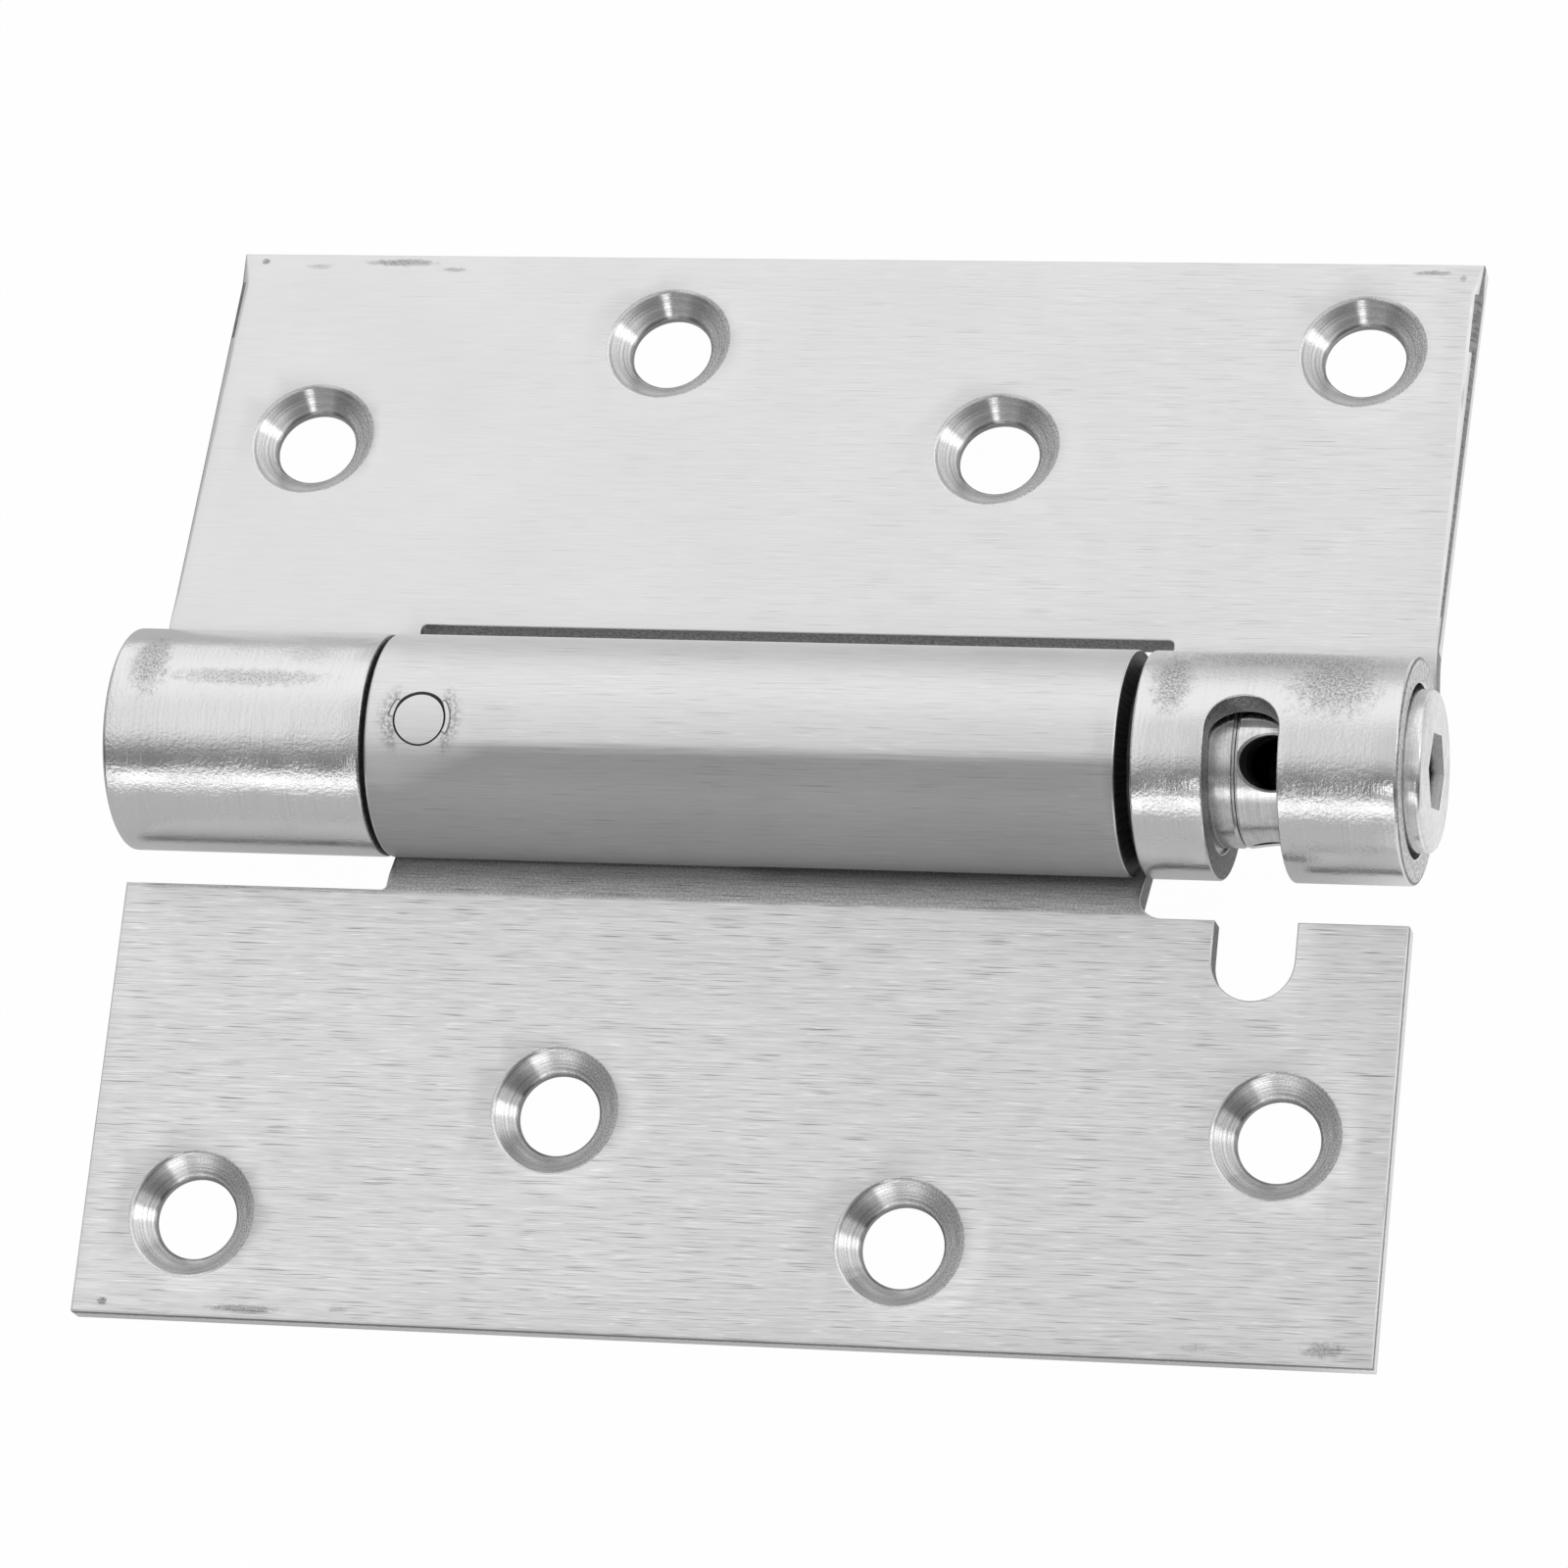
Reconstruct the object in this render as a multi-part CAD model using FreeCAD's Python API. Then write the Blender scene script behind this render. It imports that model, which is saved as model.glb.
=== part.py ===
"""Spring loaded door hinge, single acting, with three knuckles.

Lengths are millimetres. X runs along the pin axis, Y from the axis towards the
free edge of the jamb leaf, Z out of the jamb leaf's screw face. The shapes are
drawn with the pin axis as the origin and moved at the end, so that the stored
origin is the middle of the jamb leaf's screw pattern, on its back face.
"""
import math
import os

import FreeCAD
import Part
from FreeCAD import Rotation, Vector

# Leaves
leaf_length = 114.3
leaf_depth = 51.5            # pin axis to the free edge
sheet = 2.3
face_offset = 1.6            # pin axis to the plane of the screw faces
past_flat = 10.82            # degrees the door leaf lies beyond flat open
knuckle_radius = 9.76
swage_slope = 31.5           # degrees, from the leaf down to the curl
swage_bend = 2.35            # inside radius of the bend at the leaf
seam_gap = 0.15              # between the curl's free end and the slope

# Knuckles and what clears them
left_knuckle = 24.15
right_knuckle = 23.45
knuckle_gap = 0.42
jamb_relief = 3.34           # knuckle to the edge of the cut-out, across the axis
door_relief_left = 2.89
door_relief_right = 3.41
corner_small = 0.5
corner_large = 2.0
knuckle_rounding = 0.9       # rolled edge of the middle knuckle
end_rounding = 0.35          # rolled edge of the outer knuckles
edge_roll_far = 0.95         # rolled side edge of the jamb leaf at its free corners
edge_roll_near = 0.3

# Screw holes, the same zigzag on both leaves
hole_end_margin = 9.855      # leaf's end to the first hole
hole_edge_margin = 9.05      # free edge to the outer row
row_step = 10.45
screw_hole_radius = 3.6
countersink_radius = 5.62
countersink_angle = 100.0

# Slot in the jamb knuckle and the notch that clears it, from the right end
slot_from_end = 10.28
slot_width = 6.4
slot_top = 80.2              # degrees round the axis from +Y
slot_bottom = 275.0
notch_from_end = 9.53
notch_width = 7.2
notch_depth = 7.02

# Fits
running_fit = 0.06
seat_fit = 0.02
thrust_gap = 0.08
slot_play = 0.12

# Torsion spring
wire_width = 2.4             # along the axis
wire_depth = 2.4
coil_spacing = 0.95          # between neighbouring turns
coil_clearance = 0.41        # between the coil and the knuckle's bore
pilot_clearance = 0.25       # between the coil and the pilots in it
coil_gap = 0.2               # between the end coils and the plugs' shoulders
leg_bend = 1.5
leg_overhang = 4.0           # how far each leg runs past the axis

# Plugs that carry the spring
pilot_length = 4.5
plug_length = 9.0
bush_wall = 1.88
bush_length = 6.0
journal_past_bush = 0.4
sleeve_wall = 2.38
sleeve_length = 6.5          # inside the middle knuckle
sleeve_step_inset = 0.3      # step in the sleeve, left of the slot
shank_past_sleeve = 1.5
end_plug_length = 4.0
end_plug_recess = 0.4
cross_pin_from_end = 4.6     # middle knuckle's left end to the pin
cross_pin_angle = 93.7       # degrees on the door leaf before it is tilted
cross_pin_radius = 2.2
cross_pin_fit = 0.05

# Tension collar
collar_clearance = 0.51      # between the collar and the knuckle's bore
collar_shoulder_from_end = 14.55
collar_proud = 1.55
collar_edge = 0.6
seam_chamfer = 0.25          # both sides of the seam seen in the slot
bar_hole_from_end = 11.35
bar_hole_radius = 2.25
bar_hole_chamfer = 0.4
bar_hole_angle = 114.9       # degrees round the axis from +Y
bar_holes = 4
hex_flats = 6.35
hex_depth = 6.5

# Sizes that follow
half = leaf_length / 2
bore_radius = knuckle_radius - sheet
near_row = leaf_depth - hole_edge_margin - row_step
far_row = leaf_depth - hole_edge_margin
hole_pitch = (leaf_length - 2 * hole_end_margin) / 3
pattern_middle = (near_row + far_row) / 2
door_knuckle_start = left_knuckle - half
door_knuckle_end = half - right_knuckle
slot_right = half - slot_from_end
slot_left = slot_right - slot_width
notch_right = half - notch_from_end
notch_left = notch_right - notch_width
notch_bottom = knuckle_radius + door_relief_right + notch_depth
curl_start = swage_slope - 90.0
curl_end = curl_start + math.degrees(math.acos((bore_radius - seam_gap) / knuckle_radius))
coil_radius = bore_radius - coil_clearance - wire_depth / 2
pilot_radius = coil_radius - wire_depth / 2 - pilot_clearance
journal_radius = bore_radius - seat_fit - bush_wall - running_fit
journal_length = bush_length + journal_past_bush
shank_radius = bore_radius - seat_fit - sleeve_wall - running_fit
cross_pin_x = door_knuckle_start + cross_pin_from_end
collar_radius = bore_radius - collar_clearance
collar_shoulder = half - collar_shoulder_from_end
bar_hole_x = half - bar_hole_from_end

# Room that a cutting tool takes past the metal
overshoot = 1.0
long_tool = 2 * (leaf_length + leaf_depth)


def polar(radius, degrees):
    """Point at an angle round the axis, in the plane across it."""
    turn = math.radians(degrees)
    return radius * math.cos(turn), radius * math.sin(turn)


def rod(radius, start, end):
    """Cylinder on the pin axis between two stations."""
    return Part.makeCylinder(radius, end - start, Vector(start, 0, 0), Vector(1, 0, 0))


def tube(outer, inner, start, end):
    return rod(outer, start, end).cut(rod(inner, start, end))


def spoke(radius, station, degrees, start, end):
    """Cylinder square to the pin axis, between two distances from it."""
    y, z = polar(1.0, degrees)
    foot = Vector(station, y * start, z * start)
    return Part.makeCylinder(radius, end - start, foot, Vector(0, y, z))


def ring_edges(shape, radius, station):
    """Round edges of a turned piece at one station."""
    found = []
    for edge in shape.Edges:
        box = edge.BoundBox
        if box.XLength < 1e-6 and abs(box.XMin - station) < 1e-6 and abs(box.ZMax - radius) < 1e-6:
            found.append(edge)
    return found


def turned(shape, degrees):
    """Copy of a shape turned round the pin axis."""
    copy = shape.copy()
    copy.rotate(Vector(0, 0, 0), Vector(1, 0, 0), degrees)
    return copy


def leaf_section(side):
    """Outline of the bent sheet seen along the axis: leaf, swage and curl."""
    def at(u, z):
        return Vector(-half, side * u, z)

    slope = math.radians(swage_slope)
    outer_bend = swage_bend + sheet
    bend_u = (bore_radius + outer_bend - (face_offset + outer_bend) * math.cos(slope)) / math.sin(slope)
    bend_z = -face_offset - outer_bend
    middle = (curl_end + curl_start + 360.0) / 2

    def bend(radius, share):
        turn = slope * share
        return at(bend_u - radius * math.sin(turn), bend_z + radius * math.cos(turn))

    def ring(radius, degrees):
        return at(*polar(radius, degrees))

    back = -face_offset - sheet
    edges = [
        Part.makeLine(at(leaf_depth, -face_offset), at(bend_u, -face_offset)),
        Part.Arc(bend(outer_bend, 0), bend(outer_bend, 0.5), bend(outer_bend, 1)).toShape(),
        Part.makeLine(bend(outer_bend, 1), ring(bore_radius, curl_start)),
        Part.Arc(ring(bore_radius, curl_start), ring(bore_radius, middle), ring(bore_radius, curl_end)).toShape(),
        Part.makeLine(ring(bore_radius, curl_end), ring(knuckle_radius, curl_end)),
        Part.Arc(ring(knuckle_radius, curl_end), ring(knuckle_radius, middle), ring(knuckle_radius, curl_start)).toShape(),
        Part.makeLine(ring(knuckle_radius, curl_start), bend(swage_bend, 1)),
        Part.Arc(bend(swage_bend, 1), bend(swage_bend, 0.5), bend(swage_bend, 0)).toShape(),
        Part.makeLine(at(bend_u, back), at(leaf_depth, back)),
        Part.makeLine(at(leaf_depth, back), at(leaf_depth, -face_offset)),
    ]
    return Part.Face(Part.Wire(edges))


def bent_sheet(side):
    return leaf_section(side).extrude(Vector(leaf_length, 0, 0))


def relief(side, start, end, reach, left_corner, right_corner):
    """Block that clears the other leaf's knuckle, with rounded inner corners."""
    depth = reach + long_tool
    low = -long_tool / 2
    block = Part.makeBox(end - start, depth, long_tool, Vector(start, reach - depth, low))
    for station, radius in ((start, left_corner), (end, right_corner)):
        if radius > 0:
            corners = [
                edge for edge in block.Edges
                if all(abs(v.X - station) < 1e-6 and abs(v.Y - reach) < 1e-6 for v in edge.Vertexes)
            ]
            block = block.makeFillet(radius, corners)
    if side < 0:
        block = block.mirror(Vector(0, 0, 0), Vector(0, 1, 0))
    return block


def edge_rounder(station, inward, radius):
    """Ring that rounds a knuckle's outer edge without touching the leaf."""
    top = knuckle_radius + overshoot
    points = [
        Vector(station, knuckle_radius - radius, 0),
        Vector(station + inward * radius, knuckle_radius, 0),
        Vector(station + inward * radius, top, 0),
        Vector(station - inward * overshoot, top, 0),
        Vector(station - inward * overshoot, knuckle_radius - radius, 0),
    ]
    middle = math.sqrt(0.5) * radius
    bulge = Vector(station + inward * (radius - middle), knuckle_radius - radius + middle, 0)
    outline = [Part.Arc(points[0], bulge, points[1]).toShape()]
    for first, second in zip(points[1:], points[2:] + points[:1]):
        outline.append(Part.makeLine(first, second))
    face = Part.Face(Part.Wire(outline))
    sweep = 360.0 - curl_end + curl_start
    face.rotate(Vector(0, 0, 0), Vector(1, 0, 0), curl_end)
    return face.revolve(Vector(0, 0, 0), Vector(1, 0, 0), sweep)


def screw_hole(side, station, row):
    """Through hole with its countersink, on either leaf."""
    slant = math.tan(math.radians(countersink_angle / 2))
    depth = (countersink_radius - screw_hole_radius) / slant
    cone = Part.makeCone(
        screw_hole_radius, countersink_radius + overshoot * slant, depth + overshoot,
        Vector(station, side * row, -face_offset - depth), Vector(0, 0, 1),
    )
    through = sheet + 2 * overshoot
    foot = Vector(station, side * row, -face_offset - sheet - overshoot)
    hole = Part.makeCylinder(screw_hole_radius, through, foot, Vector(0, 0, 1))
    return cone.fuse(hole)


def drill_leaf(leaf, side):
    """The zigzag template, turned half a turn for the door leaf."""
    for index in range(4):
        station = (index - 1.5) * hole_pitch
        row = near_row if index % 2 == 0 else far_row
        leaf = leaf.cut(screw_hole(side, side * station, row))
    return leaf


def slot_cutter():
    """Slot round the jamb knuckle with full round ends."""
    middle = (slot_left + slot_right) / 2
    end_turn = math.degrees(math.asin(slot_width / 2 / knuckle_radius))
    start = slot_top + end_turn
    sweep = slot_bottom - slot_top - 2 * end_turn
    outer = knuckle_radius + 2 * overshoot
    strip = Part.Face(Part.makePolygon([
        Vector(slot_left, 0, 0),
        Vector(slot_right, 0, 0),
        Vector(slot_right, outer, 0),
        Vector(slot_left, outer, 0),
        Vector(slot_left, 0, 0),
    ]))
    strip.rotate(Vector(0, 0, 0), Vector(1, 0, 0), start)
    band = strip.revolve(Vector(0, 0, 0), Vector(1, 0, 0), sweep)
    for degrees in (start, start + sweep):
        band = band.fuse(spoke(slot_width / 2, middle, degrees, bore_radius / 4, outer))
    return band


def make_jamb_leaf():
    leaf = bent_sheet(1)
    side_edges = [
        edge for edge in leaf.Edges
        if abs(edge.BoundBox.XLength) < 1e-6
        and edge.BoundBox.YLength > leaf_depth / 2
        and abs(edge.BoundBox.ZMax + face_offset) < 1e-6
    ]
    for edge in side_edges:
        first_is_far = edge.Vertexes[0].Y > edge.Vertexes[-1].Y
        radii = (edge_roll_far, edge_roll_near) if first_is_far else (edge_roll_near, edge_roll_far)
        leaf = leaf.makeFillet(radii[0], radii[1], [edge])
    start = door_knuckle_start - knuckle_gap
    end = door_knuckle_end + knuckle_gap
    leaf = leaf.cut(relief(1, start, end, knuckle_radius + jamb_relief, corner_small, corner_small))
    for station, inward in ((-half, 1), (start, -1), (end, 1), (half, -1)):
        leaf = leaf.cut(edge_rounder(station, inward, end_rounding))
    leaf = leaf.cut(slot_cutter())
    return drill_leaf(leaf, 1)


def notch_cutter():
    """Round-bottomed notch in the door leaf, in line with the slot."""
    radius = notch_width / 2
    middle = (notch_left + notch_right) / 2
    low = -face_offset - sheet - overshoot
    high = sheet + 2 * overshoot
    straight = Part.makeBox(
        notch_width, notch_bottom - radius, high, Vector(notch_left, radius - notch_bottom, low)
    )
    bottom = Part.makeCylinder(radius, high, Vector(middle, radius - notch_bottom, low), Vector(0, 0, 1))
    return straight.fuse(bottom)


def cross_pin_hole(extra):
    reach = knuckle_radius + overshoot
    return spoke(cross_pin_radius + extra, cross_pin_x, cross_pin_angle, -reach, reach)


def make_door_leaf():
    leaf = bent_sheet(-1)
    left_edge = knuckle_radius + door_relief_left
    right_edge = knuckle_radius + door_relief_right
    leaf = leaf.cut(relief(-1, -half - overshoot, door_knuckle_start, left_edge, 0, corner_small))
    leaf = leaf.cut(relief(-1, door_knuckle_end, half + overshoot, right_edge, corner_large, 0))
    for station, inward in ((door_knuckle_start, 1), (door_knuckle_end, -1)):
        rounder = edge_rounder(station, inward, knuckle_rounding)
        leaf = leaf.cut(rounder.mirror(Vector(0, 0, 0), Vector(0, 1, 0)))
    leaf = leaf.cut(notch_cutter())
    leaf = leaf.cut(cross_pin_hole(cross_pin_fit))
    leaf = drill_leaf(leaf, -1)
    return turned(leaf, past_flat)


def cross_slot(start, end):
    """Slot across a pilot for one leg of the spring."""
    width = wire_depth + 2 * slot_play
    reach = bore_radius
    return Part.makeBox(end - start, 2 * reach, width, Vector(start, -reach, -width / 2))


def make_pivot_plug():
    """Plug pinned in the middle knuckle; its journal turns in the left knuckle."""
    body_end = door_knuckle_start + plug_length
    body = rod(bore_radius - seat_fit, door_knuckle_start, body_end)
    body = body.fuse(rod(journal_radius, door_knuckle_start - journal_length, door_knuckle_start))
    body = body.fuse(rod(pilot_radius, body_end, body_end + pilot_length))
    body = body.cut(cross_slot(body_end, body_end + pilot_length))
    return body.cut(turned(cross_pin_hole(cross_pin_fit), past_flat))


def make_cross_pin():
    reach = 2 * cross_pin_radius
    pin = cross_pin_hole(0).common(rod(knuckle_radius, cross_pin_x - reach, cross_pin_x + reach))
    return turned(pin, past_flat)


def make_left_bush():
    end = door_knuckle_start - knuckle_gap
    return tube(bore_radius - seat_fit, journal_radius + running_fit, end - bush_length, end)


def make_end_plug():
    start = -half + end_plug_recess
    return rod(bore_radius - seat_fit, start, start + end_plug_length)


def make_bearing_sleeve():
    """Sleeve fixed in the jamb knuckle; the middle knuckle turns on it."""
    start = door_knuckle_end - sleeve_length
    step = slot_left - sleeve_step_inset
    body = rod(bore_radius - running_fit, start, door_knuckle_end + knuckle_gap / 2)
    body = body.fuse(rod(bore_radius - seat_fit, door_knuckle_end + knuckle_gap / 2, step))
    ring = rod(collar_radius, step, collar_shoulder)
    ring = ring.makeChamfer(seam_chamfer, ring_edges(ring, collar_radius, collar_shoulder))
    return body.fuse(ring).cut(rod(shank_radius + running_fit, start, collar_shoulder))


def make_tension_collar():
    """Collar wound with a bar or hexagon key; its pilot holds the spring's right leg."""
    head_start = collar_shoulder + thrust_gap
    face = half + collar_proud
    pilot_start = door_knuckle_end - sleeve_length - shank_past_sleeve
    head = rod(collar_radius, head_start, face)
    head = head.makeFillet(collar_edge, ring_edges(head, collar_radius, face))
    head = head.makeChamfer(seam_chamfer, ring_edges(head, collar_radius, head_start))
    body = head.fuse(rod(shank_radius, pilot_start, head_start))
    body = body.fuse(rod(pilot_radius, pilot_start - pilot_length, pilot_start))
    body = body.cut(cross_slot(pilot_start - pilot_length, pilot_start))
    for index in range(bar_holes // 2):
        turn = bar_hole_angle + index * 360.0 / bar_holes
        reach = collar_radius + overshoot
        body = body.cut(spoke(bar_hole_radius, bar_hole_x, turn, -reach, reach))
    for index in range(bar_holes):
        y, z = polar(1.0, bar_hole_angle + index * 360.0 / bar_holes)
        base = math.sqrt(collar_radius ** 2 - bar_hole_radius ** 2) - bar_hole_chamfer
        flare = bar_hole_chamfer + overshoot
        flare = Part.makeCone(
            bar_hole_radius, bar_hole_radius + flare, flare,
            Vector(bar_hole_x, y * base, z * base), Vector(0, y, z),
        )
        body = body.cut(flare)
    corner = hex_flats / math.sqrt(3)
    points = []
    for index in range(7):
        y, z = polar(corner, bar_hole_angle + index * 60.0)
        points.append(Vector(face + overshoot, y, z))
    socket = Part.Face(Part.makePolygon(points)).extrude(Vector(-hex_depth - overshoot, 0, 0))
    return body.cut(socket)


def spring_leg(station, hand):
    """Leg across the axis and the bend that joins it to the coil."""
    low = station - wire_width / 2
    centre = coil_radius - leg_bend
    swing = math.asin(leg_bend / centre)
    straight = centre * math.cos(swing)
    leg = Part.makeBox(
        wire_width, straight + leg_overhang, wire_depth, Vector(low, -leg_overhang, -wire_depth / 2)
    )
    section = Part.Face(Part.makePolygon([
        Vector(low, straight, -wire_depth / 2),
        Vector(low + wire_width, straight, -wire_depth / 2),
        Vector(low + wire_width, straight, wire_depth / 2),
        Vector(low, straight, wire_depth / 2),
        Vector(low, straight, -wire_depth / 2),
    ]))
    turn = hand * (90.0 + math.degrees(swing) + 2.0)
    bend = section.revolve(Vector(0, straight, hand * leg_bend), Vector(1, 0, 0), turn)
    return leg.fuse(bend)


def make_spring(start, end):
    """Torsion spring of square wire; each end lies in the slot of its plug."""
    swing = math.asin(leg_bend / (coil_radius - leg_bend))
    coil_turns = round((end - start) / (wire_width + coil_spacing))
    turns = coil_turns - swing / math.pi
    pitch = (end - start) / turns
    helix = Part.makeHelix(pitch, end - start, coil_radius)
    helix.rotate(Vector(0, 0, 0), Vector(0, 1, 0), 90)
    helix.translate(Vector(start, 0, 0))
    first = helix.Edges[0]
    begin = first.valueAt(first.FirstParameter)
    helix.rotate(Vector(0, 0, 0), Vector(1, 0, 0), math.degrees(swing - math.atan2(begin.z, begin.y)))
    y, z = polar(1.0, math.degrees(swing))
    inner = coil_radius - wire_depth / 2
    outer = coil_radius + wire_depth / 2
    left = start - wire_width / 2
    right = start + wire_width / 2
    profile = Part.makePolygon([
        Vector(left, y * inner, z * inner),
        Vector(right, y * inner, z * inner),
        Vector(right, y * outer, z * outer),
        Vector(left, y * outer, z * outer),
        Vector(left, y * inner, z * inner),
    ])
    coil = Part.Wire(helix.Edges).makePipeShell([profile], True, True)
    return coil.fuse([spring_leg(start, 1), spring_leg(end, -1)])


def store(shape, name, checks):
    shape = shape.copy()
    shape.translate(Vector(0, -pattern_middle, face_offset + sheet))
    solids = shape.Solids
    if len(solids) == 1:
        shape = solids[0]
    shape.exportStep("parts/" + name + ".step")
    checks.append((name, len(solids), shape.isValid(), shape.Volume))


def main():
    os.makedirs("parts", exist_ok=True)
    checks = []
    spring_start = door_knuckle_start + plug_length + wire_width / 2 + coil_gap
    spring_end = door_knuckle_end - sleeve_length - shank_past_sleeve - wire_width / 2 - coil_gap
    store(make_jamb_leaf(), "jamb_leaf", checks)
    store(make_door_leaf(), "door_leaf", checks)
    store(make_pivot_plug(), "pivot_plug", checks)
    store(make_cross_pin(), "cross_pin", checks)
    store(make_left_bush(), "left_bush", checks)
    store(make_end_plug(), "end_plug", checks)
    store(make_bearing_sleeve(), "bearing_sleeve", checks)
    store(make_tension_collar(), "tension_collar", checks)
    store(make_spring(spring_start, spring_end), "torsion_spring", checks)
    for name, count, valid, volume in checks:
        print(name, count, valid, round(volume, 1))


main()
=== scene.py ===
"""Spring loaded door hinge: brushed leaves with rolled knuckles round a turned collar and plugs.

The leaves are modelled as the press makes them: a flat blank with rolled and
sheared edges, bent afterwards. Blank coordinates are millimetres, x along the
barrel and s across it, from the free edge round to the end of the curl.
"""
import math

import bmesh
import bpy
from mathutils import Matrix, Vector
from mathutils.geometry import delaunay_2d_cdt
from mathutils.kdtree import KDTree


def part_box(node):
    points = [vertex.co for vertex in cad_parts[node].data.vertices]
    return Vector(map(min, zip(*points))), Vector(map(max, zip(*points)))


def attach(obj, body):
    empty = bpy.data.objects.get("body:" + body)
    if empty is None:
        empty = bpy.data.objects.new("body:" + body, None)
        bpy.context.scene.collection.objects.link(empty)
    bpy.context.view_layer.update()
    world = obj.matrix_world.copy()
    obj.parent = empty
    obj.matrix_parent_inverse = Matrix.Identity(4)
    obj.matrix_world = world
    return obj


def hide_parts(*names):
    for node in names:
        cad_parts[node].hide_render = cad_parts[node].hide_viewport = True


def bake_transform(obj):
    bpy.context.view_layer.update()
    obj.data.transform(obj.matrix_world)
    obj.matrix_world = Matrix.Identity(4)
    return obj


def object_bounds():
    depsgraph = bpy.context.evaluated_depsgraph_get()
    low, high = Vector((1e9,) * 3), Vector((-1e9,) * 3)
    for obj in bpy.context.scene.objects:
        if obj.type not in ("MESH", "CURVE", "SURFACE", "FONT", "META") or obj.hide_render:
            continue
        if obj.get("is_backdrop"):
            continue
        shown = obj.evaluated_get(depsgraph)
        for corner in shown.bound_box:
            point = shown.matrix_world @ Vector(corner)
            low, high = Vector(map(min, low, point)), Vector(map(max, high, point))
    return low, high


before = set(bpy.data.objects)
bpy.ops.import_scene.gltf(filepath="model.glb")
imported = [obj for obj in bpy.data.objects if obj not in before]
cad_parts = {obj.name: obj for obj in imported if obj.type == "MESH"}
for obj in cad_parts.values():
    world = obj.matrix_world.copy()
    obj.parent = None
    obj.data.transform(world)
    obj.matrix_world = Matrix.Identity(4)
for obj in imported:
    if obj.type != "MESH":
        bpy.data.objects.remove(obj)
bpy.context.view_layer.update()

MM = 0.001

# Leaves
LEAF_LENGTH = 114.3
LEAF_DEPTH = 51.5
SHEET = 2.3
FACE_OFFSET = 1.6
PAST_FLAT = math.radians(10.82)
KNUCKLE_RADIUS = 9.76
BORE_RADIUS = KNUCKLE_RADIUS - SHEET
SWAGE_SLOPE = math.radians(31.5)
SWAGE_BEND = 2.35
SEAM_GAP = 0.15
HALF = LEAF_LENGTH / 2

# Knuckles and what clears them
DOOR_KNUCKLE = (-33.3, 33.75)
KNUCKLE_GAP = 0.42
JAMB_RELIEF = 13.1
DOOR_RELIEF_LEFT = 12.65
DOOR_RELIEF_RIGHT = 13.17
CORNER_SMALL = 0.5
CORNER_LARGE = 2.0

# Screw holes
NEAR_ROW = 32.0
FAR_ROW = 42.45
HOLE_PITCH = 31.53
SCREW_HOLE = 3.6
COUNTERSINK = 5.62
COUNTERSINK_SLOPE = math.tan(math.radians(50.0))

# Slot and notch
SLOT = (40.47, 46.87)
SLOT_ANGLES = (80.2, 275.0)
NOTCH = (40.42, 47.62)
NOTCH_BOTTOM = 20.19

# Pin across the middle knuckle
CROSS_PIN_X = -28.4
CROSS_PIN_ANGLE = 93.7
CROSS_PIN_HOLE = 2.25

# Ridge along the middle knuckle, by its angle from the leaf's own side
CREASE_ANGLE = 74.5
CREASE_REACH = 17.0
CREASE_HEIGHT = 0.13

# Ears staked beside the cross pin: middle and half width, in degrees round the pin
STAKED_EARS = [(6.0, 36.0), (158.0, 21.0)]
EAR_REACH = 0.5

# Collar, as far as its hollows get painted shade and highlights
COLLAR_RADIUS = 6.95
COLLAR_PROUD = 1.55
BAR_HOLES_END = 50.0
SOCKET_RADIUS = 3.95

# Wire and coil of the torsion spring
WIRE = 2.4
WIRE_CORNER = 0.3
COIL_RADIUS = 5.85
COIL_PITCH = 3.35
LEG_BEND = 1.5
LEG_PAST_AXIS = 4.0
WIRE_POINTS = 1201

# Where the pin axis lies in the frame, from the middle of the screw pattern
AXIS_Y = -(NEAR_ROW + FAR_ROW) / 2
AXIS_Z = FACE_OFFSET + SHEET

# Fineness of the meshes
CURL_STEP = math.radians(2.5)
ROW_STEP = 3.0
COLUMN_STEP = 2.4
ROUND_STEPS = 4
HOLE_STEPS = 96
PIN_HOLE_STEPS = 48
SLOT_END_STEPS = 24

# Studio: the camera's lengths in millimetres and its turn in degrees, the floor in metres
FOCAL_LENGTH = 186.945
FILM_WIDTH = 36.0
CAMERA_PLACE = (181.60, -361.67, 600.31)
CAMERA_TURN = (29.4494, 12.2932, 8.5052)
FLOOR_REACH = 3.0
FLOOR_CORNERS = [(-1, -1), (1, -1), (1, 1), (-1, 1)]
FLOOR_RIGHT = (0.045, 0.060)

# Small lamps: direction, degrees from it where each begins and where it is full, strength
LAMPS = [
    ((0.855, 0.13, 0.50), 14, 6, 1.9),
    ((0.0, -0.741, 0.671), 7, 2.5, 2.2),
    ((0.94, -0.185, 0.31), 14, 6, 0.6),
]


# Bent section

BEND_RADIUS = SWAGE_BEND + SHEET
BEND_U = (
    BORE_RADIUS + BEND_RADIUS - (FACE_OFFSET + BEND_RADIUS) * math.cos(SWAGE_SLOPE)
) / math.sin(SWAGE_SLOPE)
BEND_Z = -FACE_OFFSET - BEND_RADIUS
CURL_START = SWAGE_SLOPE - math.pi / 2
CURL_END = CURL_START + math.acos((BORE_RADIUS - SEAM_GAP) / KNUCKLE_RADIUS)
FLAT_END = LEAF_DEPTH - BEND_U
BEND_END = FLAT_END + BEND_RADIUS * SWAGE_SLOPE
SLOPE_FOOT = Vector((BORE_RADIUS * math.cos(CURL_START), BORE_RADIUS * math.sin(CURL_START)))
SLOPE_HEAD = Vector((
    BEND_U - BEND_RADIUS * math.sin(SWAGE_SLOPE),
    BEND_Z + BEND_RADIUS * math.cos(SWAGE_SLOPE),
))
CURL_BEGIN = BEND_END + (SLOPE_HEAD - SLOPE_FOOT).length
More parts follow.
